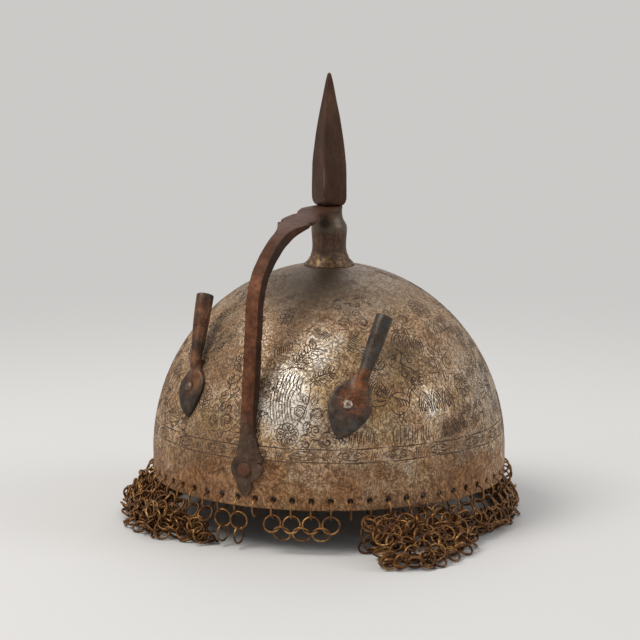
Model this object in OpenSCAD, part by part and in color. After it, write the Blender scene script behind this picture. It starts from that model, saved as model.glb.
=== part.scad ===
// War helmet: a raised steel bowl with a spiked socket on top, an arched brace bar in front of
// the face, two plume sockets and a mail curtain hung from holes in the rim.
// Millimetres, +Z up. The front is -Y. The origin is on the bowl's axis, on the surface
// that the helmet stands on. Azimuths are measured from the front, towards +X.

/* [Bowl] */
// Outer radius of the bowl at its widest level
bowl_r = 105; // [98:0.5:112]
// Height of the dome above the widest level, outside
dome_h = 110.7; // [102:0.1:118]
// Height of the straight skirt, from the rim edge to the widest level
skirt_h = 14.8; // [12:0.1:18]
// Thickness of the bowl's plate
wall = 1.5; // [1.2:0.1:1.8]

/* [Rim holes] */
// Diameter of the holes that the mail hangs from
hole_d = 3.2; // [3:0.1:3.6]
// Height of the hole centres above the rim edge
hole_up = 5.6; // [5.2:0.1:6]

/* [Standing] */
// Height of the rim edge above the surface, held up by the heaped mail
rim_lift = 25; // [24:0.5:30]

/* [Neck socket] */
// Radius of the flared foot, brazed to the top of the bowl
foot_r = 15; // [13:0.5:17]
// Radius of the socket's straight part
neck_r = 9.9; // [9.4:0.1:10.4]
// Radius of the rounded shoulder
shoulder_r = 10.6; // [10:0.1:11.5]
// Radius of the waist under the brace bar's eye
waist_r = 7.8; // [7:0.1:8.6]
// Height from the top of the bowl to where the flare ends
flare_h = 8.5; // [7:0.1:10]
// Height from the top of the bowl to the shoulder
shoulder_h = 21.5; // [19:0.1:24]
// Height from the top of the bowl to the seat of the eye
neck_h = 32; // [29:0.1:35]

/* [Spike] */
// Side of the spike's square section
spike_w = 15.8; // [14:0.1:17]
// Height of the straight lower part
spike_prism_h = 26; // [20:0.5:32]
// Height of the whole spike above the eye
spike_h = 78; // [65:0.5:90]
// Height of the rounded base
spike_base_h = 3.5; // [2.5:0.1:4.5]
// Azimuth that one corner of the spike points to
spike_turn = 10; // [0:1:45]
// Diameter of the tang that runs down into the bowl
tang_d = 8; // [6.5:0.1:9]
// Radius of the washer inside the bowl
tang_washer_r = 11; // [9:0.5:14]
// Thickness of the washer inside the bowl
tang_washer_t = 2; // [1.5:0.1:3]

/* [Brace bar] */
// Width of the bar
bar_w = 8.3; // [7:0.1:10]
// Thickness of the bar between its two flattened ends
bar_t = 6.5; // [5:0.1:7.5]
// Thickness of the flattened ends
plate_t = 2.2; // [1.8:0.1:2.6]
// Lean of the straight part towards the axis, in degrees
bar_lean = 6.2; // [5:0.1:7]
// Height above the widest level at which the straight part ends
bar_straight_h = 97; // [90:0.5:100]
// Height above the widest level from which the bar has its full thickness
bar_full_h = 50; // [46:0.5:60]
// Radius of the lower bend, on the outer face
bend_r = 38.7; // [35:0.1:42]
// Slope of the last straight part down from the eye, in degrees
crown_slope = 10.7; // [8:0.1:13]
// Half width of the lobes of the lower end
foot_lobe = 10.8; // [10:0.1:12]
// Height of the lower rivet above the widest level
foot_rivet_h = 7.1; // [6:0.1:8.5]
// Diameter of the lower rivet's head
foot_head_d = 8.2; // [7:0.1:9]
// Half width of the lobes of the upper end
crown_lobe = 10.8; // [10:0.1:12]
// Radius of the eye round the tang
eye_r = 7.8; // [7.4:0.1:9]

/* [Plume sockets] */
// Azimuth of the right socket's rivet
right_az = 32.5; // [29:0.5:36]
// Height of the right socket's rivet above the widest level
right_h = 44.2; // [40:0.1:48]
// Splay of the right socket away from upright, in degrees
right_splay = 21.5; // [12:0.5:28]
// Azimuth of the left socket's rivet, to the other side
left_az = 29; // [28:0.5:36]
// Height of the left socket's rivet above the widest level
left_h = 46.2; // [40:0.1:49]
// Splay of the left socket away from upright, in degrees
left_splay = 16.5; // [12:0.5:28]
// Length of the leaf from its tip to where it is as narrow as the tube
leaf_l = 41.5; // [38:0.5:44]
// Width of the leaf
leaf_w = 25; // [22:0.5:27]
// How far the leaf's middle lies to the right of the rivet
leaf_aside = 1.5; // [0:0.1:2]
// Length of the left leaf, which was hammered out less than the right one
left_leaf_l = 33; // [30:0.5:36]
// Width of the left leaf
left_leaf_w = 22.4; // [20:0.1:24]
// How far the left leaf's middle lies to the left of its rivet
left_leaf_aside = 0.3; // [0:0.1:1.5]
// How far the tube lies to the right of the rivet
tube_aside = 3; // [0:0.1:4]
// Length of the socket tube
tube_l = 41; // [36:0.5:46]
// Outer radius of the tube at its foot
tube_foot_r = 2.8; // [2.5:0.1:3.2]
// Outer radius of the tube at its mouth
tube_mouth_r = 5; // [4.8:0.1:5.6]
// Radius of the socket's bore
tube_bore_r = 3.8; // [3.2:0.1:3.9]
// Depth of the socket's bore
tube_bore_l = 26; // [20:0.5:28]
// Diameter of the leaf rivet's head
leaf_head_d = 5.9; // [5:0.1:7]

/* [Rivets] */
// Diameter of every rivet shank
shank_d = 3.4; // [3:0.1:4]
// Diameter of the burrs, the small washers under the rivets' inner ends
burr_d = 8; // [7:0.1:9]
// Thickness of the burrs
burr_t = 1; // [0.8:0.1:1.3]

/* [Mail] */
// Mean radius of a mail ring
ring_r = 4.9; // [4.6:0.05:5.1]
// Diameter of the mail's wire
wire_d = 1.1; // [1:0.05:1.2]
// Step from one row of rings to the next along the sheet
row_step = 3.55; // [3.4:0.05:3.8]
// Tilt of the rings out of the sheet, in degrees, up and down in turn
ring_tilt = 34; // [32:0.5:35]
// Reach of the right heap past the hem
right_reach = 33; // [25:0.5:36]
// Reach of the left heap past the hem
left_reach = 17; // [12:0.5:20]

/* [Hidden] */

fit = 0.05;       // radial clearance of shanks and tang in their holes
seat = 0.06;      // clearance under plates that lie on the bowl
facets = 96;
widest_z = rim_lift + skirt_h;
top_z = widest_z + dome_h;
hole_z = rim_lift + hole_up;
eye_z = top_z + neck_h;            // underside of the bar's eye
spike_z = eye_z + plate_t + seat;  // underside of the spike
ogive_steps = 36;

// Mail: how rings hang in the rim and in each other
ring_gap = 0.25;      // side by side clearance between the rings of a row
hang_play = 0.4;      // rim ring above the bottom of its hole
hook_first = 1.67;    // centre line of a row 1 ring above that of its rim ring's lowest point
hook_drop = wire_d + 0.2;
hang_tilt = 35;       // tilt of the rings of row 1
hook_in = -0.24;      // where row 1 hooks in, inwards of the middle of the plate
hem_bend_r = 16;      // bend of the sheet onto the surface
heap_slope = 25;      // slope of the sheet from upright at the heaps' middle
heap_taper = 4.2;     // reach that each further row of a heap needs
mid_r = bowl_r - wall / 2;
rim_ring_z = hole_z - hole_d / 2 + wire_d / 2 + hang_play - ring_r;
row1_out = mid_r + hook_in + ring_r * sin(hang_tilt);
row1_z = rim_ring_z - ring_r + hook_first - ring_r * cos(hang_tilt);
hole_count = floor(2 * PI * row1_out / (2 * ring_r + wire_d + ring_gap));
pitch = 360 / hole_count;
floor_z = ring_r * sin(ring_tilt) + wire_d / 2 + 0.02;
// Heaps of mail: azimuth, half width, reach, lean of their direction, how parallel the columns run
heaps = [[48, 36, right_reach, -5, 0.3], [-57, 44, left_reach, 0, 0.25]];
heap_row_max = 8;
first_bare = -2;      // the mail is missing from this hole
last_bare = 5;        // to this one, across the face
down_rows = 6;

function out_dir(a) = [sin(a), -cos(a), 0];
function unit(v) = v / norm(v);
function turn(a, b) = ((a - b + 540) % 360) - 180;
function hole_az(k) = (k + 0.5) * pitch;
function dome_r(z, off = 0) = (bowl_r + off) * sqrt(max(0, 1 - pow(z / (dome_h + off), 2)));
function bowl_r_at(z, off = 0) = z > 0 ? dome_r(z, off) : bowl_r + off;
function dome_profile(off) = [for (i = [0 : ogive_steps])
    [(bowl_r + off) * cos(90 * i / ogive_steps), widest_z + (dome_h + off) * sin(90 * i / ogive_steps)]];

// Solid of revolution inside a surface that lies off mm outside the bowl's outer face
module bowl_form(off, low) {
    rotate_extrude($fn = facets)
        polygon(concat([[0, low], [bowl_r + off, low]], dome_profile(off)));
}

// Children are placed on the dome with Z along the outward normal and Y up the dome
module on_dome(az, z) {
    r = dome_r(z);
    slope = atan2(z / pow(dome_h, 2), r / pow(bowl_r, 2));
    rotate([0, 0, az])
        translate([0, -r, widest_z + z])
            rotate([90 - slope, 0, 0])
                children();
}

// The plume socket on one side, 1 for right and -1 for left: Y runs up the leaf from the rivet
module at_socket(side) {
    on_dome(side > 0 ? right_az : -left_az, side > 0 ? right_h : left_h)
        rotate([0, 0, side > 0 ? -right_splay : left_splay])
            children();
}

module at_foot_rivet() {
    translate([0, -bowl_r_at(foot_rivet_h), widest_z + foot_rivet_h])
        rotate([90, 0, 0])
            children();
}

module bowl() {
    color("#8d7f6b")
    difference() {
        bowl_form(0, rim_lift);
        bowl_form(-wall, rim_lift - 1);
        for (k = [0 : hole_count - 1])
            rotate([0, 0, hole_az(k)])
                translate([0, -mid_r, hole_z])
                    rotate([90, 0, 0])
                        cylinder(d = hole_d, h = 4 * wall, center = true, $fn = 24);
        translate([0, 0, top_z - 4 * wall])
            cylinder(d = tang_d + 2 * fit, h = 8 * wall, $fn = 32);
        at_foot_rivet() cylinder(d = shank_d + 2 * fit, h = 6 * wall, center = true, $fn = 24);
        for (side = [-1, 1])
            at_socket(side) cylinder(d = shank_d + 2 * fit, h = 6 * wall, center = true, $fn = 24);
    }
}

// Turned socket with a flared foot, a swelling body, a shoulder and a waist
module neck_socket() {
    flare = [for (t = [0 : 0.125 : 1]) [foot_r - (foot_r - neck_r) * sin(90 * t), flare_h * (1 - cos(90 * t))]];
    swell = [for (t = [0.25 : 0.25 : 1])
        [neck_r + (shoulder_r - neck_r) * (1 - cos(180 * t)) / 2, flare_h + (shoulder_h - flare_h) * t]];
    close_in = [for (t = [0.2 : 0.2 : 1])
        [shoulder_r - (shoulder_r - waist_r) * (1 - cos(180 * t)) / 2,
         shoulder_h + (neck_h - 2 - shoulder_h) * t]];
    low = -dome_h * (1 - sqrt(1 - pow(foot_r / bowl_r, 2)));
    color("#5b4636")
    difference() {
        translate([0, 0, top_z])
            rotate_extrude($fn = facets)
                polygon(concat([[tang_d / 2 + fit, low - 2], [foot_r, low - 2], [foot_r, low + 1]],
                    [for (p = flare) [p[0], p[1] < low + 1.2 ? low + 1.2 : p[1] + (low + 1.2) * (1 - p[1] / flare_h)]],
                    swell, close_in, [[waist_r, neck_h], [tang_d / 2 + fit, neck_h]]));
        bowl_form(seat, rim_lift);
    }
}

// The drawn-out point of the spike: share of its height against share of the half width
spike_taper = [[0, 0.965], [0.13, 0.895], [0.31, 0.775], [0.52, 0.597], [0.69, 0.42], [0.865, 0.25], [0.952, 0.15]];

// One wedge-shaped slab of the spike: half width against height, run through along Y
module spike_slab(half, tip) {
    side = concat([[half * 0.74, 0], [half * 0.93, spike_base_h * 0.45], [half, spike_base_h]],
        [for (p = spike_taper) [half * p[1], spike_prism_h + (spike_h - spike_prism_h) * p[0]]],
        [[tip, spike_h]]);
    last = len(side) - 1;
    rotate([90, 0, 0])
        linear_extrude(height = 4 * spike_w, center = true)
            polygon(concat([for (p = side) [-p[0], p[1]]], [for (i = [last : -1 : 0]) side[i]]));
}

module spike() {
    half = spike_w / 2;
    // flats across the corners, just inside the sharp edges
    edge_half = half * sqrt(2) - 0.35;
    washer_z = washer_top() - tang_washer_t;
    color("#4c3a31") {
        translate([0, 0, spike_z])
            rotate([0, 0, spike_turn + 45])
                intersection() {
                    spike_slab(half, 0.35);
                    rotate([0, 0, 90]) spike_slab(half, 0.35);
                    rotate([0, 0, 45]) spike_slab(edge_half, 0.5);
                    rotate([0, 0, 135]) spike_slab(edge_half, 0.5);
                }
        translate([0, 0, washer_z - seat - 3]) {
            cylinder(d = tang_d, h = spike_z + 1 - washer_z + seat + 3, $fn = 32);
            cylinder(d1 = tang_d, d2 = tang_d + 4, h = 1.5, $fn = 32);
            translate([0, 0, 1.5]) cylinder(d = tang_d + 4, h = 1.5, $fn = 32);
        }
    }
}

// The washer's rim meets the inside of the dome at this height
function washer_top() = widest_z + (dome_h - wall) * sqrt(1 - pow(tang_washer_r / (bowl_r - wall), 2)) - seat;

module tang_washer() {
    color("#5a5048")
    difference() {
        translate([0, 0, washer_top() - tang_washer_t])
            cylinder(r = tang_washer_r, h = tang_washer_t, $fn = 48);
        translate([0, 0, washer_top() - 2 * tang_washer_t])
            cylinder(d = tang_d + 2 * fit, h = 3 * tang_washer_t, $fn = 32);
    }
}

// Brace bar. Its outer face is a line in the front plane, given as [out, up] from the widest level:
// a straight leaning part, a close bend, a wide bend, a gently sloping part and the level eye.
bar_top_h = dome_h + neck_h + plate_t;
bar_foot = [bowl_r_at(16, seat + plate_t) + 0.1, 16];
bend_start = [bar_foot[0] - (bar_straight_h - bar_foot[1]) * tan(bar_lean), bar_straight_h];
bend_from = 90 + bar_lean;
bend_end = 135;
bend_stop = bend_start + bend_r * [sin(bend_end) - sin(bend_from), cos(bend_from) - cos(bend_end)];
slope_end = 2.4 * eye_r;
crown_end = 180 - crown_slope;
crown_r = (bar_top_h - bend_stop[1] - (bend_stop[0] - slope_end) * tan(crown_slope))
    / (cos(bend_end) - cos(crown_end) - (sin(bend_end) - sin(crown_end)) * tan(crown_slope));
bend_steps = 10;
crown_steps = 10;
function heading(i) = i <= bend_steps
    ? bend_from + (bend_end - bend_from) * i / bend_steps
    : bend_end + (crown_end - bend_end) * (i - bend_steps) / crown_steps;
function outer_point(i) = i <= bend_steps
    ? bend_start + bend_r * [sin(heading(i)) - sin(bend_from), cos(bend_from) - cos(heading(i))]
    : bend_stop + crown_r * [sin(heading(i)) - sin(bend_end), cos(bend_end) - cos(heading(i))];
crown_stop = outer_point(bend_steps + crown_steps);
// The upper end's shoulder, and where the bar starts to thin towards it, from the axis
crown_shoulder = 45.5;
crown_flare = 17;
function thick(out) = plate_t
    + (bar_t - plate_t) * max(0, min(1, (out - crown_shoulder) / crown_flare));
function inner_point(p, h) = p - thick(p[0]) * [sin(h), -cos(h)];
crown_knee = [crown_shoulder, crown_stop[1] + (crown_stop[0] - crown_shoulder) * tan(crown_slope)];
bar_outer = concat([for (i = [0 : bend_steps + crown_steps]) outer_point(i)],
    [[slope_end, bar_top_h], [-2 * eye_r, bar_top_h]]);
bar_inner = concat([[-2 * eye_r, bar_top_h - plate_t], [slope_end, bar_top_h - plate_t],
    inner_point(crown_knee, crown_end)],
    [for (i = [bend_steps + crown_steps : -1 : 0]) inner_point(outer_point(i), heading(i))]);
function bar_out(z) = bar_foot[0] - (z - bar_foot[1]) * tan(bar_lean);

// Outline of the lower end from the front, cut by hand and so a little uneven: pointed tip,
// notch, round lobe, notch, shoulder and flare, given from the rivet as [out, up]
foot_right = [[2.7, -13.2], [4.6, -9.8], [3.9, -7.6], [5.9, -6.1], [8.4, -3.7], [10.1, -1.6], [10.8, 0.6],
    [10.3, 2.6], [9.3, 3.7], [7.6, 4], [10.6, 6.1], [8.9, 9], [7.3, 12.4], [5.6, 17.6], [4.6, 22]];
foot_left = [[2.4, -14.1], [4.2, -11.7], [5.3, -8.5], [5.1, -6.9], [6.9, -5.3], [8.5, -2.8], [9.3, 0.2],
    [8.9, 3.1], [7.5, 5.6], [5.6, 7.5], [6.4, 9.2], [5.3, 12.4], [4.6, 16.6]];
foot_low = foot_rivet_h - 15.6;
function foot_line(side, w) = [for (p = side)
    [w * max(p[0] * foot_lobe / 10.8, p[1] > 9 ? bar_w / 2 : 0), foot_rivet_h + p[1]]];
module foot_outline() {
    polygon(concat([[0.1, foot_low]], foot_line(foot_right, 1),
        [[bar_w / 2, foot_rivet_h + 26], [-bar_w / 2, foot_rivet_h + 26]],
        [for (i = [len(foot_left) - 1 : -1 : 0]) foot_line(foot_left, -1)[i]]));
}

// Outline of the upper end from above, outwards along Y: eye, second lobe, notch, lobe, notch,
// shoulder and flare, given as [half width against the lobe's, distance from the shoulder]
crown_edge = [[0.8, -40], [0.86, -34], [0.87, -28], [0.83, -23], [0.79, -20.5], [0.67, -17.5], [0.8, -15.5],
    [0.92, -12], [1, -8], [0.98, -4.5], [0.88, -2.2], [0.74, -1.2], [0.96, 0], [0.8, 4], [0.62, 8], [0.48, 12]];
module crown_outline() {
    side = [for (p = crown_edge) [max(p[0] * crown_lobe, bar_w / 2), crown_shoulder + p[1]]];
    polygon(concat([[0, 0]], side,
        [[bar_w / 2, crown_shoulder + crown_flare], [-bar_w / 2, crown_shoulder + crown_flare]],
        [for (i = [len(side) - 1 : -1 : 0]) [-side[i][0], side[i][1]]]));
    circle(r = eye_r, $fn = 48);
}

module brace_bar() {
    foot_face = bowl_r + seat + plate_t;
    side_view = concat(bar_outer, bar_inner,
        [[bar_out(bar_full_h) - bar_t, bar_full_h], [bowl_r_at(30, 0), 30],
         [bar_foot[0] - 2 * bar_t, bar_foot[1]], [bowl_r - 4, foot_low - 1], [foot_face, foot_low - 1],
         [foot_face, 0]],
        [for (z = [4, 8, 12]) [bowl_r_at(z, seat + plate_t), z]],
        [bar_foot]);
    color("#54402f")
    difference() {
        intersection() {
            translate([0, 0, widest_z])
                rotate([90, 0, -90])
                    linear_extrude(height = 4 * crown_lobe, center = true)
                        polygon(side_view);
            union() {
                translate([-bar_w / 2, -2 * bowl_r, widest_z + foot_rivet_h + 20])
                    cube([bar_w, 2 * bowl_r - crown_shoulder - crown_flare + 4, bar_top_h]);
                translate([0, -bowl_r / 2, widest_z])
                    rotate([90, 0, 0])
                        linear_extrude(height = bowl_r)
                            foot_outline();
                translate([0, 0, top_z])
                    mirror([0, 1, 0])
                        linear_extrude(height = 2 * neck_h)
                            crown_outline();
            }
        }
        bowl_form(seat, 0);
        translate([0, 0, top_z])
            cylinder(d = tang_d + 2 * fit, h = 2 * neck_h, $fn = 32);
        at_foot_rivet() cylinder(d = shank_d + 2 * fit, h = 8 * plate_t, center = true, $fn = 24);
    }
}

// Rivet along Z from a plate's outer face at 0 down through plates thick, with its head above
module rivet(head_d, head_h, through, flat) {
    difference() {
        union() {
            if (flat) cylinder(d1 = head_d, d2 = head_d - 1.2, h = head_h, $fn = 48);
            else intersection() {
                cylinder(d = head_d, h = head_h, $fn = 48);
                translate([0, 0, head_h - dome_ball(head_d, head_h)])
                    sphere(r = dome_ball(head_d, head_h), $fn = 64);
            }
            translate([0, 0, -through]) cylinder(d = shank_d, h = through + 0.2, $fn = 24);
            translate([0, 0, -through - 0.8]) cylinder(d1 = shank_d, d2 = shank_d + 1.6, h = 0.8, $fn = 32);
        }
    }
}
function dome_ball(d, h) = (d * d / 4 + h * h) / (2 * h);

// From the outer face of a plate to the inner face of a burr
plate_stack = plate_t + seat + wall + burr_t + 3 * seat;
head_seat = plate_t + 3 * seat;
// The brace rivet lies square to the axis, so its head and burr clear the bowl's slope there
foot_head_seat = plate_t + 5 * seat;
foot_burr_seat = wall + 7 * seat;

module brace_rivet() {
    color("#5f4434")
        at_foot_rivet()
            translate([0, 0, foot_head_seat])
                rivet(foot_head_d, 1.1, foot_head_seat + foot_burr_seat + burr_t, true);
}

module burr() {
    difference() {
        cylinder(d = burr_d, h = burr_t, $fn = 40);
        translate([0, 0, -burr_t]) cylinder(d = shank_d + 2 * fit, h = 3 * burr_t, $fn = 24);
    }
}

module brace_burr() {
    color("#5a5048")
        at_foot_rivet() translate([0, 0, -foot_burr_seat - burr_t]) burr();
}

// Leaf and socket tube, forged in one. Y runs up the leaf from the rivet, Z out of the bowl.
function leaf_tip(side) = side > 0 ? leaf_l * 0.47 : left_leaf_l * 0.52;
function leaf_top(side) = side > 0 ? leaf_l - leaf_tip(side) : left_leaf_l - leaf_tip(side);
leaf_waist = tube_foot_r + 0.4;
tube_rise = tube_foot_r + 0.6;
tube_from = leaf_top(1) - 8.5;

// Egg-shaped leaf with a blunt tip, drawn in to the tube, which lies a little to its right
module leaf_outline(side) {
    half = (side > 0 ? leaf_w : left_leaf_w) / 2;
    aside = side > 0 ? leaf_aside : -left_leaf_aside;
    tip = leaf_tip(side);
    top = leaf_top(side);
    lower = [for (t = [0 : 0.1 : 1])
        [2 + (half - 2) * pow(sin(90 * t), 0.9), -tip + (tip + 1) * t]];
    upper = [for (t = [0.1 : 0.1 : 1])
        [leaf_waist + (half - leaf_waist) * pow(cos(90 * t), 2), 1 + (top - 1) * t]];
    edge = concat([[1.2, -tip - 0.5]], lower, upper);
    function middle(y) = aside + (tube_aside - aside) * pow(max(0, min(1, (y - top / 4) / (top * 0.75))), 2);
    polygon(concat([for (p = edge) [middle(p[1]) + p[0], p[1]]],
        [for (i = [len(edge) - 1 : -1 : 0]) [middle(edge[i][1]) - edge[i][0], edge[i][1]]]));
}

module tube_axis() {
    translate([tube_aside, tube_from, tube_rise]) rotate([-88, 0, 0]) children();
}

module plume_socket(side) {
    tube = [for (t = [0 : 0.125 : 1])
        [tube_foot_r + (tube_mouth_r - tube_foot_r) * pow(sin(90 * t), 0.9), tube_l * t]];
    // the tube's closed foot, a drop that sinks into the leaf
    drop_l = 2.2 * tube_foot_r;
    foot = [for (t = [0 : 0.125 : 0.875]) [tube_foot_r * sin(90 * t), -drop_l * cos(90 * t)]];
    color("#4f4a45")
    difference() {
        union() {
            intersection() {
                at_socket(side)
                    translate([0, 0, -leaf_l / 2])
                        linear_extrude(height = leaf_l)
                            leaf_outline(side);
                bowl_form(seat + plate_t, 0);
            }
            at_socket(side)
                tube_axis()
                    rotate_extrude($fn = 48)
                        polygon(concat(foot, tube, [[0, tube_l]]));
        }
        bowl_form(seat, 0);
        at_socket(side) {
            tube_axis()
                translate([0, 0, tube_l - tube_bore_l])
                    cylinder(r = tube_bore_r, h = 2 * tube_bore_l, $fn = 40);
            cylinder(d = shank_d + 2 * fit, h = 8 * plate_t, center = true, $fn = 24);
        }
    }
}
module plume_socket_right() { plume_socket(1); }
module plume_socket_left() { plume_socket(-1); }

module plume_rivet(side, tint) {
    color(tint)
        at_socket(side)
            translate([0, 0, head_seat]) rivet(leaf_head_d, 1.7, plate_stack + 2 * seat, false);
}
module plume_rivet_right() { plume_rivet(1, "#a59a8c"); }
module plume_rivet_left() { plume_rivet(-1, "#5f4a3c"); }

module plume_burr(side) {
    color("#5a5048")
        at_socket(side) translate([0, 0, -wall - burr_t - 3 * seat]) burr();
}
module plume_burr_right() { plume_burr(1); }
module plume_burr_left() { plume_burr(-1); }

// A mail ring with its centre at c and its plane square to n
module ring(c, n) {
    translate(c)
        rotate([0, acos(n[2] / norm(n)), atan2(n[1], n[0])])
            rotate_extrude($fn = 30)
                translate([ring_r, 0])
                    circle(d = wire_d, $fn = 14);
}

// The mail sheet: a surface over azimuth a and the way s down from row 1
function share(a, h) = abs(turn(a, h[0])) >= h[1] ? 0 : pow(cos(90 * turn(a, h[0]) / h[1]), 2);
function spill(a) = share(a, heaps[0]) * heaps[0][2] + share(a, heaps[1]) * heaps[1][2];
function out_az(a) = a + share(a, heaps[0]) * (heaps[0][3] - heaps[0][4] * turn(a, heaps[0][0]))
    + share(a, heaps[1]) * (heaps[1][3] - heaps[1][4] * turn(a, heaps[1][0]));
function slope_at(a) = heap_slope * min(1, 1.3 * spill(a) / right_reach);
sheet_drop = row1_z - floor_z;
function bend_at(a) = min(hem_bend_r, sheet_drop / (1 - sin(slope_at(a))));
function straight_at(a) = (sheet_drop - bend_at(a) * (1 - sin(slope_at(a)))) / cos(slope_at(a));
function sheet_local(s, g, r, l) = let(b = (s - l) / r * 180 / PI)
    s < l ? [s * sin(g), row1_z - s * cos(g)]
    : b < 90 - g ? [l * sin(g) + r * (cos(g) - cos(g + b)), row1_z - l * cos(g) - r * (sin(g + b) - sin(g))]
    : [l * sin(g) + r * cos(g) + s - l - r * (90 - g) * PI / 180, floor_z];
function sheet(a, s) = let(p = sheet_local(s, slope_at(a), bend_at(a), straight_at(a)))
    out_dir(a) * row1_out + out_dir(out_az(a)) * p[0] + [0, 0, p[1]];
function sheet_normal(t, d, sign) = let(n = unit(cross(d, t))) n * cos(sign * ring_tilt) - d * sin(sign * ring_tilt);
function square_to(d, t) = unit(d - t * (d * t));
function row_normal(a, s, sign) = let(t = unit(sheet(a + 1, s) - sheet(a - 1, s)))
    sheet_normal(t, square_to(sheet(a, s + 0.5) - sheet(a, max(0, s - 0.5)), t), sign);
// No ring reaches below the surface
function lowest(n) = ring_r * sqrt(max(0, 1 - n[2] * n[2])) + wire_d / 2;

first_mail = last_bare + 1;
last_mail = hole_count + first_bare - 1;

module mail_ring(a, j) {
    s = (j - 1) * row_step;
    if (j == 1) ring(sheet(a, 0), out_dir(a) * cos(hang_tilt) + [0, 0, sin(hang_tilt)]);
    else {
        n = row_normal(a, s, j % 2 == 1 ? 1 : -1);
        c = sheet(a, s);
        ring([c[0], c[1], max(c[2], lowest(n))], n);
    }
}

module mail_row(j) {
    odd = j % 2;
    color("#7a5a34")
        for (k = [first_mail : last_mail - 1 + odd]) {
            a = hole_az(k) + (1 - odd) * pitch / 2;
            if (j <= down_rows || spill(a) >= (j - down_rows) * heap_taper) mail_ring(a, j);
        }
}
module mail_row_1() { mail_row(1); }
module mail_row_2() { mail_row(2); }
module mail_row_3() { mail_row(3); }
module mail_row_4() { mail_row(4); }
module mail_row_5() { mail_row(5); }
module mail_hem() { for (j = [down_rows : down_rows + heap_row_max]) mail_row(j); }

module rim_ring(k) {
    ring(out_dir(hole_az(k)) * mid_r + [0, 0, rim_ring_z], [cos(hole_az(k)), sin(hole_az(k)), 0]);
}
module rim_rings() { color("#6e5132") for (k = [first_mail : last_mail]) rim_ring(k); }

// Fringe across the face: what is left of the mail there, on the holes first_bare to last_bare
drop_turn = 15;       // turn of a hanging ring about the vertical
drop1_z = rim_ring_z - 2 * ring_r + hook_drop;
drop2_z = drop1_z - 2 * ring_r + hook_drop;
module drop(k) {
    a = hole_az(k);
    color("#86643a") {
        ring(out_dir(a) * mid_r + [0, 0, drop1_z], out_dir(a + drop_turn));
        ring(out_dir(a) * mid_r + [0, 0, drop2_z], [cos(a), sin(a), 0]);
    }
}
module fringe_ring_left() { color("#6e5132") rim_ring(first_bare); }
module fringe_drop_left() { drop(first_bare); }
module fringe_ring_middle() { color("#6e5132") rim_ring(first_bare + 1); }
module fringe_drop_middle() { drop(first_bare + 1); }
module fringe_ring_centre() { color("#6e5132") rim_ring(first_bare + 2); }
module fringe_ring_right() { color("#6e5132") rim_ring(last_bare); }

// Curtain: four hanging rings joined by a second row that links each to the next
curtain_tilt = 26;
curtain_back = 29;
curtain_step = 5.3;
curtain_out = mid_r + 0.57 + ring_r * sin(curtain_tilt);
curtain_z = rim_ring_z - ring_r + 1.53 - ring_r * cos(curtain_tilt);
curtain_from = first_bare + 3;
curtain_to = last_bare - 1;
module curtain_rings() { color("#6e5132") for (k = [curtain_from : curtain_to]) rim_ring(k); }
module curtain_hem() {
    color("#86643a") {
        for (k = [curtain_from : curtain_to]) {
            a = hole_az(k);
            ring(out_dir(a) * curtain_out + [0, 0, curtain_z],
                out_dir(a) * cos(curtain_tilt) + [0, 0, sin(curtain_tilt)]);
        }
        for (k = [curtain_from : curtain_to - 1]) {
            a = hole_az(k) + pitch / 2;
            ring(out_dir(a) * (curtain_out - 0.13) + [0, 0, curtain_z - curtain_step],
                out_dir(a) * cos(curtain_back) - [0, 0, sin(curtain_back)]);
        }
    }
}

bowl();
neck_socket();
spike();
tang_washer();
brace_bar();
brace_rivet();
brace_burr();
plume_socket_right();
plume_socket_left();
plume_rivet_right();
plume_rivet_left();
plume_burr_right();
plume_burr_left();
rim_rings();
mail_row_1();
mail_row_2();
mail_row_3();
mail_row_4();
mail_row_5();
mail_hem();
fringe_ring_left();
fringe_drop_left();
fringe_ring_middle();
fringe_drop_middle();
fringe_ring_centre();
curtain_rings();
curtain_hem();
fringe_ring_right();
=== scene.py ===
import math

import bpy
import numpy as np
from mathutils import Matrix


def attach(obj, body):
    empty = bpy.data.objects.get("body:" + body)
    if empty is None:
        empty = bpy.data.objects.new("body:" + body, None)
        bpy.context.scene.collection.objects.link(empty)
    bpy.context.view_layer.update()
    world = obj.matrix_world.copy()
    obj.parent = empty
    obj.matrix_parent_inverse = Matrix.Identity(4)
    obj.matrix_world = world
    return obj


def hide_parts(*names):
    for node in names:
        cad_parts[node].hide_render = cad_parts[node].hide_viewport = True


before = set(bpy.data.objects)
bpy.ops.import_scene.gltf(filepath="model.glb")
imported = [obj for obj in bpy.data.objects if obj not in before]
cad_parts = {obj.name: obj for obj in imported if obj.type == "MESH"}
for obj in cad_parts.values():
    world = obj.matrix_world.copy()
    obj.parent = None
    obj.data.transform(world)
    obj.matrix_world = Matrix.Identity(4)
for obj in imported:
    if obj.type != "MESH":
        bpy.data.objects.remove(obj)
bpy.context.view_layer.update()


# Camera and studio. The camera stands where the photograph was taken from, 1.6 m away and a
# little above the helmet, with a long lens. The floor is plain and pale, and the lamps are soft.

CAMERA_PLACE = (0.70378, -1.41756, 0.38717)
CAMERA_DOWN = 9.72
CAMERA_ROUND = 26.6
CAMERA_LENS = 152.16
MM_PER_M = 1000

camera_data = bpy.data.cameras.new("camera")
camera_data.sensor_width = 36
camera_data.lens = CAMERA_LENS
camera = bpy.data.objects.new("camera", camera_data)
camera.location = CAMERA_PLACE
camera.rotation_euler = (math.radians(90 - CAMERA_DOWN), 0, math.radians(CAMERA_ROUND))
bpy.context.scene.collection.objects.link(camera)
bpy.context.scene.camera = camera
bpy.context.scene.view_settings.view_transform = "Standard"


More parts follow.
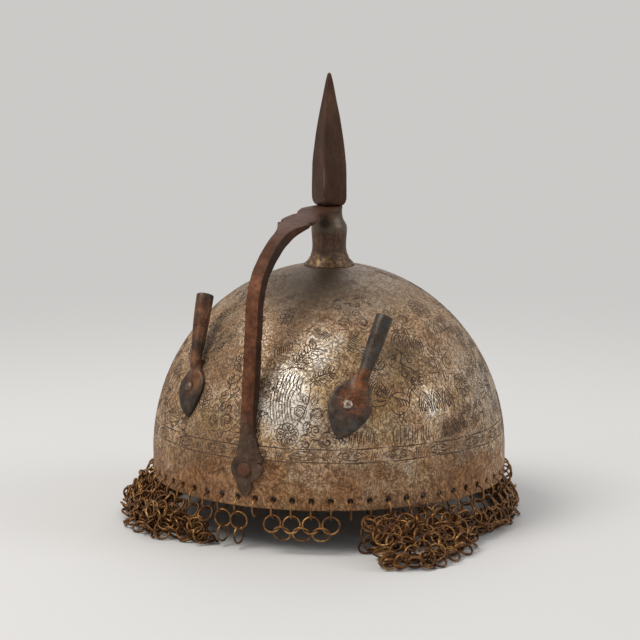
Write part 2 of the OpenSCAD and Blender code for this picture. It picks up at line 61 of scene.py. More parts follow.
class Value:
    """One output of a shader node. Arithmetic on it adds Math nodes to the same material."""

    def __init__(self, finish, socket):
        self.finish = finish
        self.socket = socket

    def maths(self, operation, *inputs):
        return self.finish.node("ShaderNodeMath", dict(enumerate(inputs)), operation=operation)

    def __add__(self, other):
        return self.maths("ADD", self, other)

    def __radd__(self, other):
        return self.maths("ADD", other, self)

    def __sub__(self, other):
        return self.maths("SUBTRACT", self, other)

    def __rsub__(self, other):
        return self.maths("SUBTRACT", other, self)

    def __mul__(self, other):
        return self.maths("MULTIPLY", self, other)

    def __rmul__(self, other):
        return self.maths("MULTIPLY", other, self)

    def most(self, other):
        return self.maths("MAXIMUM", self, other)

    def least(self, other):
        return self.maths("MINIMUM", self, other)

    def ramp(self, low, high, first=0.0, last=1.0):
        """This value carried smoothly from first at low to last at high."""
        inputs = {0: self, 1: low, 2: high, 3: first, 4: last}
        return self.finish.node("ShaderNodeMapRange", inputs, interpolation_type="SMOOTHSTEP")


class Finish:
    """A material under construction. Places are read from the object's own coordinates."""

    def __init__(self, name):
        self.material = bpy.data.materials.new(name)
        self.material.use_nodes = True
        self.tree = self.material.node_tree
        self.tree.nodes.clear()
        self.place = self.node("ShaderNodeTexCoord", output="Object")
        self.z = self.node("ShaderNodeSeparateXYZ", {0: self.place}, output="Z")

    def node(self, kind, inputs=(), output=0, stops=None, **settings):
        """Any node: its settings first, then the values or links of its sockets."""
        made = self.tree.nodes.new(kind)
        for setting, value in settings.items():
            setattr(made, setting, value)
        if stops:
            while len(made.color_ramp.elements) < len(stops):
                made.color_ramp.elements.new(0.5)
            for element, (position, colour) in zip(made.color_ramp.elements, stops):
                element.position = position
                element.color = (*colour, 1)
        for socket, value in dict(inputs).items():
            if isinstance(value, Value):
                self.tree.links.new(value.socket, made.inputs[socket])
            else:
                made.inputs[socket].default_value = value
        return Value(self, made.outputs[output])

    def noise(self, size, detail=4.0, roughness=0.55, stretch=(1, 1, 1), at=(0, 0, 0)):
        """Noise whose blotches are about size millimetres wide, times stretch, shifted by at."""
        spread = tuple(MM_PER_M / (size * longer) for longer in stretch)
        place = self.node("ShaderNodeMapping", {0: self.place, 1: at, 3: spread})
        inputs = {"Vector": place, "Scale": 1.0, "Detail": detail, "Roughness": roughness}
        return self.node("ShaderNodeTexNoise", inputs)

    def cells(self, size, feature="F1"):
        """Distance in a field of cells about size millimetres wide."""
        inputs = {"Vector": self.place, "Scale": MM_PER_M / size}
        return self.node("ShaderNodeTexVoronoi", inputs, feature=feature)

    def near(self, point, reach, soft=0.5):
        """1 at a point in millimetres, falling to 0 at reach; soft is the share that fades."""
        inputs = {0: self.place, 1: tuple(coordinate / MM_PER_M for coordinate in point)}
        away = self.node("ShaderNodeVectorMath", inputs, output="Value", operation="DISTANCE")
        return away.ramp(reach / MM_PER_M, reach * (1 - soft) / MM_PER_M)

    def colours(self, value, stops):
        """A colour ramp along a value."""
        return self.node("ShaderNodeValToRGB", {0: value}, stops=stops)

    def mix(self, share, first, second):
        """The first colour, or the second where share is 1."""
        inputs = {0: share}
        for socket, colour in ((6, first), (7, second)):
            inputs[socket] = colour if isinstance(colour, Value) else (*colour, 1)
        return self.node("ShaderNodeMix", inputs, output=2, data_type="RGBA")

    def bump(self, height, depth, strength=1.0):
        """A bump of depth millimetres."""
        inputs = {"Height": height, "Distance": depth / MM_PER_M, "Strength": strength}
        return self.node("ShaderNodeBump", inputs)

    def metal(self, colour, roughness, metallic, bump=None, **fixed):
        """The finished metal on the material's output."""
        inputs = {"Base Color": colour, "Roughness": roughness, "Metallic": metallic}
        inputs.update({socket.replace("_", " "): value for socket, value in fixed.items()})
        if bump:
            inputs["Normal"] = bump
        shader = self.node("ShaderNodeBsdfPrincipled", inputs, output="BSDF")
        return self.end(shader)

    def end(self, shader):
        """Puts a shader on the material's output."""
        out = self.tree.nodes.new("ShaderNodeOutputMaterial")
        self.tree.links.new(shader.socket, out.inputs["Surface"])
        return self.material


def welded(points, quads):
    """Points that coincide become one, and a quad with two equal corners a triangle."""
    keys = np.round(np.asarray(points) * 1e5).astype(np.int64)
    _, kept, number = np.unique(keys, axis=0, return_index=True, return_inverse=True)
    quads = number.reshape(-1)[quads]
    equal = quads == np.roll(quads, -1, axis=1)
    pinched = equal.sum(1) == 1
    triangles = quads[pinched][~equal[pinched]].reshape(-1, 3)
    return np.asarray(points)[kept], quads[~equal.any(1)].tolist() + triangles.tolist()


def piece(name, points, quads, material, body=None, slot=None, stands_for=()):
    """A smooth mesh object from points in millimetres and quads. Its place in its mesh, the slot, is not
    used.
    """
    points, faces = welded(points, quads)
    mesh = bpy.data.meshes.new(name)
    mesh.from_pydata((points / MM_PER_M).tolist(), [], faces)
    mesh.polygons.foreach_set("use_smooth", np.ones(len(faces), bool))
    mesh.materials.append(material)
    made = bpy.data.objects.new(name, mesh)
    bpy.context.scene.collection.objects.link(made)
    if body:
        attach(made, body)
    if stands_for:
        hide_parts(*stands_for)
    return made


def grid(rows, columns, turned_over=False):
    """Quads of a grid of points, rows long and columns round, closed across its columns."""
    row = np.arange(rows - 1)[:, None] * columns
    column = np.arange(columns)[None, :]
    after = (column + 1) % columns
    corners = [row + column, row + after, row + columns + after, row + columns + column]
    quads = np.stack(corners, -1).reshape(-1, 4)
    return quads[:, ::-1] if turned_over else quads


def repeated(quads, copies, points_each, start=0):
    """Quads of a number of like surfaces, whose points follow each other from start on."""
    starts = start + np.arange(copies) * points_each
    return (quads[None] + starts[:, None, None]).reshape(-1, 4)


FLOOR_REACH = 9000
PALE = (0.60, 0.59, 0.575)
AIM_Z = 0.12

# the floor: rings of points out to nine metres
ring_reach = np.concatenate([[0], np.geomspace(60, FLOOR_REACH, 24)])
ring_turn = np.linspace(0, 2 * np.pi, 96, endpoint=False)
floor_points = np.stack([
    ring_reach[:, None] * np.cos(ring_turn),
    ring_reach[:, None] * np.sin(ring_turn),
    0 * ring_reach[:, None] * ring_turn,
], -1).reshape(-1, 3)
floor_finish = Finish("pale_floor")
rays = floor_finish.node("ShaderNodeLightPath", output="Is Camera Ray")
paths = rays.socket.node.outputs
seen = rays.most(Value(floor_finish, paths["Is Glossy Ray"]))
seen = seen.most(Value(floor_finish, paths["Is Transmission Ray"]))
# seen by the camera, the floor goes over into an even pale backdrop away from the helmet
on_level = {0: floor_finish.place, 1: (1, 1, 0)}
flat_place = floor_finish.node("ShaderNodeVectorMath", on_level, operation="MULTIPLY")
from_axis = floor_finish.node("ShaderNodeVectorMath", {0: flat_place}, output="Value", operation="LENGTH")
far_off = from_axis.ramp(0.28, 0.9)
cloth = floor_finish.node("ShaderNodeBsdfDiffuse", {"Color": (*PALE, 1)})
glow = floor_finish.node("ShaderNodeEmission", {"Color": (*PALE, 1), "Strength": 1.0})
floor_finish.end(floor_finish.node("ShaderNodeMixShader", {0: seen * far_off, 1: cloth, 2: glow}))
floor_quads = grid(len(ring_reach), len(ring_turn), turned_over=True)
floor = piece("floor", floor_points, floor_quads, floor_finish.material)

world = bpy.data.worlds.new("studio")
bpy.context.scene.world = world
world.use_nodes = True
world.node_tree.nodes["Background"].inputs["Color"].default_value = (0.97, 0.98, 1.0, 1)
world.node_tree.nodes["Background"].inputs["Strength"].default_value = 0.5


def lamp(name, azimuth, elevation, distance, size, watts, colour=(1, 1, 1)):
    """A soft square lamp that faces the helmet, placed by its azimuth from the front and its elevation."""
    data = bpy.data.lights.new(name, "AREA")
    data.size = size
    data.energy = watts
    data.color = colour
    lit = bpy.data.objects.new(name, data)
    turn, rise = math.radians(azimuth), math.radians(elevation)
    lit.location = (
        distance * math.cos(rise) * math.sin(turn),
        -distance * math.cos(rise) * math.cos(turn),
        AIM_Z + distance * math.sin(rise),
    )
    lit.rotation_euler = (math.radians(90) - rise, 0, turn)
    bpy.context.scene.collection.objects.link(lit)


lamp("key_lamp", -34, 54, 1.8, 0.9, 24, (1, 0.98, 0.95))
lamp("side_lamp", 105, 30, 1.9, 1.0, 9)
lamp("back_lamp", -160, 42, 2.0, 1.2, 10)


# Bowl. One steel plate raised over a stake, 1.5 mm thick, with sixty holes punched in a row above
# its rim. Its surface is a half ellipsoid on a short upright skirt, with faint hammer dents.

BOWL_R = 105
DOME_H = 110.7
WIDEST_Z = 39.8
RIM_Z = 25
WALL = 1.5
HOLES = 60
HOLE_R = 1.6
HOLE_Z = 30.6
HOLE_WEAR = 0.12
HOLE_LIP = 0.15
LIP_DEEP = 0.2
CELL_TOP = 36
CELL_SIDE = 8
CELL_RINGS = 4
TANG_R = 4.05
EDGE_R = WALL / 2
OUTER_ROWS = 62
INNER_ROWS = 40
EDGE_ROWS = 9


def dents(azimuth, rise):
    """Depth of the hammer dents: crossed waves round and up the plate, 0 to 0.3 mm deep."""
    wide = np.sin(3 * azimuth + 1.3) * np.sin(4 * rise + 0.4) + 0.6 * np.sin(7 * azimuth + 9 * rise)
    small = np.sin(19 * azimuth - 11 * rise) * np.sin(23 * rise + 5 * azimuth)
    return -0.06 * (2.2 + wide + 0.5 * small) * np.cos(np.maximum(rise, 0))


def bowl_point(azimuth, rise, out=0.0):
    """Place on the bowl, out millimetres outside its outer face.

    rise is 0 at the widest level and pi/2 at the top: reach = R cos(rise), height = H sin(rise).
    Below the widest level it is negative and runs straight down the skirt, R millimetres to 1.
    """
    azimuth, rise, out = np.broadcast_arrays(azimuth, rise, out)
    up = np.maximum(rise, 0)
    reach = (BOWL_R + out) * np.cos(up) + dents(azimuth, rise)
    height = (DOME_H + out) * np.sin(up) + np.minimum(rise, 0) * BOWL_R
    return np.stack([reach * np.sin(azimuth), -reach * np.cos(azimuth), WIDEST_Z + height], -1)


def rise_at(height):
    """Rise of a height above the widest level."""
    return np.arcsin(height / DOME_H) if height > 0 else height / BOWL_R


def hole_cells(out, inner):
    """The strip with the holes: round each hole a ring, which goes over into a square of the strip.

    A point lies a share of the way from its place on the ring to its place on the square.
    """
    side = np.linspace(-1, 1, CELL_SIDE + 1)[:-1]
    square_x = np.concatenate([side, 0 * side + 1, -side, 0 * side - 1])
    square_y = np.concatenate([0 * side - 1, side, 0 * side + 1, -side])
    turn = np.radians(-135) + np.arange(4 * CELL_SIDE) * np.pi / (2 * CELL_SIDE)
    share = np.linspace(0, 1, CELL_RINGS)[:, None]
    low, high = RIM_Z + EDGE_R, CELL_TOP
    square_z = (low + high) / 2 + square_y * (high - low) / 2
    aside = (1 - share) * inner * np.cos(turn) / BOWL_R + share * square_x * np.pi / HOLES
    z = (1 - share) * (HOLE_Z + inner * np.sin(turn)) + share * square_z
    azimuth = (np.arange(HOLES) + 0.5)[:, None, None] * 2 * np.pi / HOLES + aside
    return bowl_point(azimuth, (z - WIDEST_Z) / BOWL_R + 0 * azimuth, out)


columns = HOLES * CELL_SIDE
column_turn = np.arange(columns) * 2 * np.pi / columns
top_rise = math.acos(TANG_R / BOWL_R)
outer_rise = np.linspace((CELL_TOP - WIDEST_Z) / BOWL_R, top_rise, OUTER_ROWS)
inner_rise = np.linspace(top_rise, (CELL_TOP - WIDEST_Z) / BOWL_R, INNER_ROWS)
edge_turn = np.linspace(-np.pi, 0, EDGE_ROWS)
edge_out = -WALL / 2 + EDGE_R * np.cos(edge_turn)
edge_z = RIM_Z + EDGE_R + EDGE_R * np.sin(edge_turn)

dome_points = np.concatenate([
    bowl_point(column_turn[None, :], outer_rise[:, None]),
    bowl_point(column_turn[None, :], inner_rise[:, None], -WALL),
])
edge_points = bowl_point(column_turn[None, :], (edge_z[:, None] - WIDEST_Z) / BOWL_R, edge_out[:, None])
# the holes are worn a little wider by the rings, and their edges are broken by a narrow lip
worn_r = HOLE_R + HOLE_WEAR
lip_r = worn_r + HOLE_LIP
wall_rings = [
    hole_cells(out, reach)[:, 0]
    for out, reach in ((0, lip_r), (-LIP_DEEP, worn_r), (LIP_DEEP - WALL, worn_r), (-WALL, lip_r))
]

bowl_points, bowl_quads, count = [], [], 0
for block, copies, turned_over in (
    (dome_points, 1, False), (edge_points, 1, False), (hole_cells(0, lip_r), HOLES, True),
    (hole_cells(-WALL, lip_r), HOLES, False), (np.stack(wall_rings, 1), HOLES, False),
):
    rows, around = block.shape[-3:-1]
    bowl_quads.append(repeated(grid(rows, around, turned_over), copies, rows * around, count))
    bowl_points.append(block.reshape(-1, 3))
    count += len(bowl_points[-1])

# Its steel is tan and brown with old patina, covered with fine tool marks that hold dark dirt, and
# rubbed to silver in places. Some darker patches are painted shadow: to the right of the left plume
# tube, along the bar's shadow, and under the bar's arch.
steel = Finish("worn_engraved_steel")
broad = steel.noise(60, 3)
mottle = steel.noise(12, 5, 0.6)
fleck = steel.noise(3.0, 4, 0.65)
grain = steel.noise(1.0, 3, 0.6)
height = steel.z * MM_PER_M - WIDEST_Z
tone = broad * 0.26 + mottle * 0.36 + fleck * 0.26 + grain * 0.24 - 0.07


def bowl_spot(azimuth, up, reach):
    """Share of a soft round spot, at an azimuth in degrees and a height above the widest level."""
    place = bowl_point(np.array(math.radians(azimuth)), rise_at(up))
    return steel.near(place.tolist(), reach, 0.9)


# rubbed spots: azimuth, height, reach, strength
for azimuth, up, reach, amount in (
    (11, 42, 30, 0.165), (16, 62, 26, 0.12), (23, 75, 20, 0.09), (20, 30, 20, 0.06), (96, 44, 34, 0.17),
    (62, 40, 18, 0.14), (-13, 44, 16, 0.04), (40, 60, 26, 0.04), (76, 56, 22, 0.08), (30, 20, 18, 0.04),
):
    tone = tone + bowl_spot(azimuth, up, reach) * amount
patina = steel.colours(tone, [
    (0.34, (0.120, 0.054, 0.020)),
    (0.42, (0.290, 0.155, 0.066)),
    (0.50, (0.500, 0.315, 0.170)),
    (0.58, (0.680, 0.510, 0.340)),
    (0.68, (0.860, 0.780, 0.660)),
])
# stains and painted shadows: azimuth, height, reach, strength, colour
bowl_colour = patina
for azimuth, up, reach, amount, colour in (
    # painted shadow: these two darken the bowl to the right of the left plume tube, where its shadow falls
    (-22, 64, 34, 0.60, (0.150, 0.082, 0.042)), (-30, 80, 28, 0.45, (0.120, 0.070, 0.038)),
    (-14, 18, 44, 0.40, (0.190, 0.092, 0.042)), (-18, 3, 34, 0.45, (0.120, 0.050, 0.022)),
    # painted shadow: the one at azimuth 5 and height 85 darkens the bowl along the bar's shadow
    (72, 3, 42, 0.50, (0.110, 0.046, 0.020)), (5, 85, 22, 0.50, (0.130, 0.066, 0.032)),
    (44, 38, 22, 0.40, (0.380, 0.260, 0.090)), (60, 66, 30, 0.35, (0.200, 0.130, 0.060)),
    (98, 52, 62, 0.50, (0.400, 0.330, 0.255)),
    (54, 70, 20, 0.50, (0.115, 0.085, 0.042)), (46, 46, 15, 0.40, (0.290, 0.140, 0.050)),
    # painted shadow: the one at azimuth 8 and height 74 carries the bar's shadow further down
    (68, 27, 12, 0.55, (0.120, 0.045, 0.022)), (8, 74, 22, 0.45, (0.170, 0.085, 0.038)),
    (24, 26, 14, 0.40, (0.180, 0.100, 0.050)), (33, 4, 22, 0.50, (0.230, 0.090, 0.048)),
    (150, 40, 40, 0.35, (0.170, 0.095, 0.045)), (-95, 50, 50, 0.35, (0.240, 0.185, 0.130)),
    (200, 70, 40, 0.35, (0.290, 0.220, 0.160)), (-140, 30, 34, 0.40, (0.160, 0.080, 0.036)),
):
    uneven = mottle.ramp(0.25, 0.60, 0.4, 1.2)
    bowl_colour = steel.mix(bowl_spot(azimuth, up, reach) * amount * uneven, bowl_colour, colour)
olive = steel.noise(30, 3, 0.5, at=(5, 5, 5)).ramp(0.52, 0.64)
bowl_colour = steel.mix(olive * 0.28, bowl_colour, (0.340, 0.240, 0.085))
ashen = steel.noise(34, 3, 0.5, at=(9, 2, 4)).ramp(0.52, 0.64)
bowl_colour = steel.mix(ashen * 0.28, bowl_colour, (0.360, 0.275, 0.215))
rusty = (height + mottle * 34 + broad * 16).ramp(44, 20)
rust = steel.colours(fleck, [(0.38, (0.150, 0.050, 0.011)), (0.62, (0.450, 0.200, 0.064))])
bowl_colour = steel.mix(rusty * 0.62, bowl_colour, rust)
crown = (height + mottle * 14).ramp(86, 108)
smoke = steel.colours(fleck, [(0.38, (0.078, 0.052, 0.032)), (0.62, (0.185, 0.145, 0.108))])
bowl_colour = steel.mix(crown * 0.74, bowl_colour, smoke)
# darker patina at the front of the crown, with painted shade where the bar's arch shades the bowl
crown_patina_and_bar_shade = steel.near((4, -30, WIDEST_Z + DOME_H - 8), 48, 0.85)
bowl_colour = steel.mix(crown_patina_and_bar_shade * 0.85, bowl_colour, (0.044, 0.027, 0.015))
# tool marks: lines that follow a field of swirls, broken here and there, specks and short scratches
swirls = steel.noise(13, 1.5, 0.4, at=(1, 4, 2)) * 17
swirl_lines = swirls.maths("PINGPONG", swirls, 0.5).ramp(0.15, 0.07)
swirl_lines = swirl_lines * steel.noise(6, 3, 0.5, at=(4, 1, 8)).ramp(0.42, 0.50)
specks = steel.noise(1.7, 2, 0.5, at=(7, 0, 3)).ramp(0.50, 0.56)
specks = specks * steel.noise(16, 3, 0.5, at=(0, 9, 1)).ramp(0.36, 0.56)
scratches = steel.noise(1.4, 2, 0.5, stretch=(0.7, 0.7, 2.6), at=(2, 2, 0)).ramp(0.54, 0.59)
marks = swirl_lines.most(specks * 0.85).most(scratches * 0.7)
marks = marks * (1 - crown * 0.6)
bowl_colour = steel.mix(marks * 0.74, bowl_colour, (0.060, 0.027, 0.011))
shine = tone.ramp(0.42, 0.70) * (1 - marks)
bowl_finish = steel.metal(
    bowl_colour,
    0.60 - shine * 0.16,
    0.30 + shine * 0.4,
    steel.bump(mottle * 0.4 + fleck * 0.3 + grain * 0.2 - marks * 0.5, 0.4, 0.7),
    Specular_IOR_Level=0.35,
)
bowl = piece(
    "bowl_plate", np.concatenate(bowl_points), np.concatenate(bowl_quads), bowl_finish,
    "helmet", "bowl", ["bowl"],
)


# Engraving. Lines cut with a graver all over the bowl: birds with fanned feathers, scrolls, leaves,
# rosettes and scallops above a band of two lines with cartouches. Dark patina fills the cuts. Each
# cut is a thin wedge of patina, broad in its middle and fine at its ends, let into the plate.

CUT_OUT = 0.03
CUT_DEEP = 0.16
LINE_W = 0.70
FINE_W = 0.54
BAND_HEIGHTS = (20.3, 12.8)
BAND_STRETCHES = 24
LINE_POINTS = 13
graver = np.random.default_rng(5)


def reach_at(height, out):
    """Reach of a surface out millimetres outside the bowl, at a height above the widest level."""
    inside = np.sqrt(1 - np.clip(height, 0, None) ** 2 / (DOME_H + out) ** 2)
    return (BOWL_R + out) * inside


def dome_frame(azimuth, height, turn=0.0):
    """Origin and axes of a place on the bowl: across, up the bowl and outwards, turned about the last."""
    reach = reach_at(height, 0)
    lean = math.atan2(height / DOME_H**2, reach / BOWL_R**2)
    azimuth, turn = math.radians(azimuth), math.radians(turn)
    across = np.array([math.cos(azimuth), math.sin(azimuth), 0])
    level = np.array([math.sin(azimuth), -math.cos(azimuth), 0])
    upright = np.array([0, 0, 1])
    up = math.cos(lean) * upright - math.sin(lean) * level
    out = math.cos(lean) * level + math.sin(lean) * upright
    right = math.cos(turn) * across + math.sin(turn) * up
    above = math.cos(turn) * up - math.sin(turn) * across
    return reach * level + (WIDEST_Z + height) * upright, np.array([right, above, out])


def on_bowl(flat, out, origin, axes):
    """Places out millimetres outside the bowl, over (across, up) places of a frame's plane.

    The way along the frame's last axis is the root of the quadratic that puts the place on the
    ellipsoid.
    """
    reach, top = BOWL_R + out, DOME_H + out
    stretch = np.stack([1 / reach, 1 / reach, 1 / top], -1)
    on_plane = origin + flat[..., :1] * axes[0] + flat[..., 1:] * axes[1]
    place = (on_plane - [0, 0, WIDEST_Z]) * stretch
    way = axes[2] * stretch
    dot = (place * way).sum(-1)
    squares = (way**2).sum(-1)
    along = (-dot + np.sqrt(dot**2 - squares * ((place**2).sum(-1) - 1))) / squares
    return on_plane + along[..., None] * axes[2]


def for_lines(*values):
    """Values as arrays of one shape, with a last axis for the places along each line."""
    return (value[..., None] for value in np.broadcast_arrays(*map(np.atleast_1d, values)))


def bows(x0, y0, x1, y1, sag):
    """Arcs from (x0, y0) to (x1, y1), each bent sideways by sag at its middle as a parabola."""
    x0, y0, x1, y1, sag = for_lines(x0, y0, x1, y1, sag)
    share = np.linspace(0, 1, LINE_POINTS)
    length = np.maximum(np.hypot(x1 - x0, y1 - y0), 1e-6)
    bend = 4 * share * (1 - share) * sag / length
    x = x0 + (x1 - x0) * share - (y1 - y0) * bend
    y = y0 + (y1 - y0) * share + (x1 - x0) * bend
    return np.stack([x, y], -1)


def curls(x, y, reach, last, start, turns):
    """Spirals round (x, y), from reach in to last, through a number of turns from a start in turns."""
    x, y, reach, last, start, turns = for_lines(x, y, reach, last, start, turns)
    share = np.linspace(0, 1, LINE_POINTS)
    reach = reach + (last - reach) * share
    turn = 2 * np.pi * (start + turns * share)
    return np.stack([x + reach * np.cos(turn), y + reach * np.sin(turn)], -1)


def rings(x, y, wide, high):
    """Ovals round (x, y)."""
    oval = curls(0, 0, 1, 1, 0 * np.asarray(x, float), 1)
    return oval * [wide, high] + np.stack(np.broadcast_arrays(x, y), -1).reshape(-1, 1, 2)


def leaves(x, y, length, turn, fat=0.30):
    """Leaves from (x, y) along a turn in degrees: two arcs and a vein."""
    x, y, length, turn = np.broadcast_arrays(*map(np.atleast_1d, (x, y, length, np.radians(turn))))
    x1, y1 = x + length * np.cos(turn), y + length * np.sin(turn)
    vein = bows(x, y, x + 0.7 * (x1 - x), y + 0.7 * (y1 - y), 0.04 * length)
    return np.concatenate([bows(x, y, x1, y1, fat * length), bows(x, y, x1, y1, -fat * length), vein])


def fan():
    """A fan of nested double feathers, as a bird's wing or tail, inside one curved outline."""
    feather = np.arange(8)
    top_x, low_x = -9 + 2.4 * feather, -7.5 + 1.65 * feather
    top_y = 13 + 4.5 * np.sin(feather / 7 * np.pi)
    first = bows(top_x, top_y, low_x, -16 + 0.6 * feather, -2.6 - 0.35 * feather)
    second = bows(top_x + 1.1, top_y - 0.3, 0.9 * top_x + 0.9, top_y - 9 - 0.5 * feather, -0.9)[:-1]
    rim = bows([-11, 9.5], [12, 15.5], [9.5, 2.5], [15.5, -19], [5.5, 4.5])
    return np.concatenate([first, second, rim])


def bird():
    """A standing bird: fanned tail, body, neck, round head with a beak, wing and legs."""
    feather = np.arange(5)
    body = bows([-6, -6, 4], [-2, -2, 3], [5, 4, 7.5], [-1, 3, 9], [-5, 3.2, 1.2])
    neck = bows([5, 6.2], [-1, 9], [7.6, 8.4], [8, 11], [1.4, 0.7])
    beak = bows([8.8, 8.8], [10.4, 9.2], [11.8, 11.8], [9.4, 9.2], [0.3, -0.2])
    wing = bows(-4 + 1.3 * feather, 1.6 - 0.2 * feather, -1 + 1.5 * feather, -3.2 + 0.3 * feather, 1.2)
    tail_end = (-14 + 1.1 * feather, -4 + 3 * feather)
    tail = bows(-5.5 - 0.2 * feather, -1 + 0.7 * feather, *tail_end, 1.2 - 0.5 * feather)
    legs = bows([0, 2.2, 0, 2.2], [-5, -4.6, -9, -8.6], [0, 2.2, 2, 4.2], [-9, -8.6, -9.8, -9.4], 0.1)
    head, eye = rings([7.4], [10.2], 1.9, 1.8), curls(7.7, 10.5, 0.5, 0.2, 0, 1)
    return np.concatenate([body, neck, beak, wing, tail, legs, head, eye])


def scroll():
    """A scroll: a waving stem, curls to either side of it and small leaves along it."""
    side = np.array([1, -1, 1, -1])
    x = np.array([-9.5, -3.2, 3.2, 9.5])
    stem = bows(x - 3.4, 0, x + 3.4, 0, 1.9 * side)
    second = bows(x - 2.6, 0.9 * side, x + 2.6, 0.9 * side, 1.5 * side)
    curled = curls(x, -3.8 * side, 3.2, 0.7, 0.25 * side, 1.35 * side)
    inner = curls(x, -3.8 * side, 2.1, 0.5, 0.25 * side + 0.3, side)
    leaf = leaves(x + 1.2, 2.2 * side, 4.4, 58 * side)
    return np.concatenate([stem, second, curled, inner, leaf])


def rosette():
    """A rosette: two rings, a ring of petals and a dotted heart."""
    degrees = np.arange(8) * 45.0
    turn = np.radians(degrees)
    heart = rings(np.zeros(3), np.zeros(3), 1, 1) * np.array([7.2, 2.4, 1.1]).reshape(-1, 1, 1)
    return np.concatenate([heart, leaves(2.4 * np.cos(turn), 2.4 * np.sin(turn), 4.6, degrees, 0.34)])


def scallops():
    """Rows of nested arches, like scales."""
    x = np.tile(np.array([-8.4, -2.8, 2.8, 8.4]), 2) + np.repeat([0, 2.8], 4)
    y = np.repeat([-2.4, 2.4], 4)
    return np.concatenate([bows(x - reach, y, x + reach, y, 1.7 * reach) for reach in (2.7, 1.9, 1.1)])


def hatching():
    """A patch of close parallel cuts."""
    stroke = np.arange(9)
    return bows(-6 + 1.3 * stroke, -3 + 0.2 * stroke, -4.4 + 1.3 * stroke, 3.2 + 0.25 * stroke, 0.5)


def arches():
    """Pointed arches side by side, each with a lens and a stem inside."""
    x = np.array([-7.5, 0, 7.5])
    return np.concatenate([
        bows(x - 3.3, -6, x, 6.5, 1.6), bows(x + 3.3, -6, x, 6.5, -1.6), bows(x - 2.2, -6, x, 4, 1.1),
        bows(x + 2.2, -6, x, 4, -1.1), leaves(x, -5, 7, 90, 0.2),
    ])


def swirl():
    """Two large curls back to back with leaves between them."""
    x = np.array([-5.2, 5.2])
    side = np.array([1, -1])
    return np.concatenate([
        curls(x, 0, 5, 0.9, 0.75, 1.6 * side), curls(x, 0, 3.9, 0.7, 0.72, 1.3 * side),
        leaves([-1.4, 1.4, 0], [4.5, 4.5, -4.5], 6, [112, 68, -90]), bows([-9, 9], -5.2, [-2, 2], -6.4, 1),
    ])


def spray():
    """A spray of leaves off one stem."""
    y = np.array([-5, -1.5, 2, 5.5])
    stem = bows(-1, -9, 1.5, 9, 1.5)
    right = leaves(0.2 + 0.06 * y, y - 1, 5.6, 38)
    left = leaves(-0.4 + 0.06 * y, y, 5.6, 142)
    return np.concatenate([stem, right, left])


def strokes():
    """Close upright strokes of uneven length, as grass."""
    x = np.linspace(-9.5, 8.5, 13)
    low, high = graver.uniform(-5, -3.5, 13), graver.uniform(2.5, 5, 13)
    return bows(x, low, x + 1.2, high, graver.uniform(0.2, 0.9, 13))


# figures that the front shows: the figure, its azimuth, height above the widest level, turn and size
FIGURES = (
    (fan, 12.8, 46.5, -4, 1.0), (spray, 17, 69, -40, 1.15), (spray, 24, 59, -62, 0.9),
    (hatching, 22.7, 80, -35, 0.9), (hatching, 8, 72, 20, 1.0), (scroll, -10, 48, 78, 0.9),
    (swirl, -12, 32, 15, 1.0), (rosette, 83.3, 89, 0, 1.05), (swirl, 62, 85, 8, 1.0),
    (scallops, 84, 77.5, 5, 1.1), (bird, 51, 45, -12, 1.25), (arches, 65.5, 43, 2, 1.15),
    (strokes, 54, 27, 0, 1.25), (rosette, 80.5, 48, 0, 0.95), (scroll, 82, 32, 4, 1.0),
    (swirl, 73.5, 62, 0, 1.15), (scroll, 98, 62, 84, 1.1), (bird, 99, 42, 0, 1.1),
    (spray, 44, 67, 20, 1.1), (hatching, 37, 76, 60, 1.0), (scroll, -27, 70, 60, 1.0),
    (spray, 4, 88, 0, 0.9), (scroll, 24, 27.5, 6, 0.95), (strokes, 37, 26.5, 0, 0.8),
    (scroll, 57, 62, -70, 1.0),
)
# the same kinds of figures go on all round: height of each row and how many figures it holds
ROWS = ((28, 26), (40, 26), (52, 24), (64, 22), (75, 18), (86, 14), (96, 9), (104, 5))
KINDS = (scroll, bird, rosette, spray, swirl, scallops, arches, scroll, strokes, spray, swirl, hatching)
CLEAR = 13.0
# the plume sockets' rivets: azimuth, height above the widest level, and turn of each socket
SOCKETS = {"right": (32.5, 44.2, -21.5), "left": (-29, 46.2, 16.5)}

figures = list(FIGURES)
taken = [dome_frame(azimuth, height)[0] for _, azimuth, height, _, _ in figures]
taken += [dome_frame(azimuth, height)[0] for azimuth, height, _ in SOCKETS.values()]
kind = 0
for row, (height, number) in enumerate(ROWS):
    for azimuth in (np.arange(number) + 0.5 * (row % 2)) * 360 / number:
        azimuth = azimuth + graver.uniform(-2, 2)
        place = dome_frame(azimuth, height)[0]
        kind += 1
        if np.linalg.norm(np.array(taken) - place, axis=1).min() > CLEAR:
            turn, size = graver.uniform(-25, 25), graver.uniform(0.82, 1.05)
            figures.append((KINDS[kind % len(KINDS)], azimuth, height, turn, size))
            taken.append(place)

cut_lines, cut_widths = [], []


def cut(places, width):
    """Notes lines, given as places on the bowl, to be cut at a width."""
    rise = np.arcsin(np.clip((places[..., 2] - WIDEST_Z) / DOME_H, -1, 1))
    cut_lines.append(np.stack([np.arctan2(places[..., 0], -places[..., 1]), rise], -1))
    cut_widths.append(np.full(len(places), width))


for figure, azimuth, height, turn, size in figures:
    flat = figure() * size
    flat = flat + graver.normal(0, 0.10, flat.shape[:1] + (1, 2))
    width = LINE_W if figure in (bird, arches) else FINE_W
    cut(on_bowl(flat, 0.0, *dome_frame(azimuth, height, turn)), width)

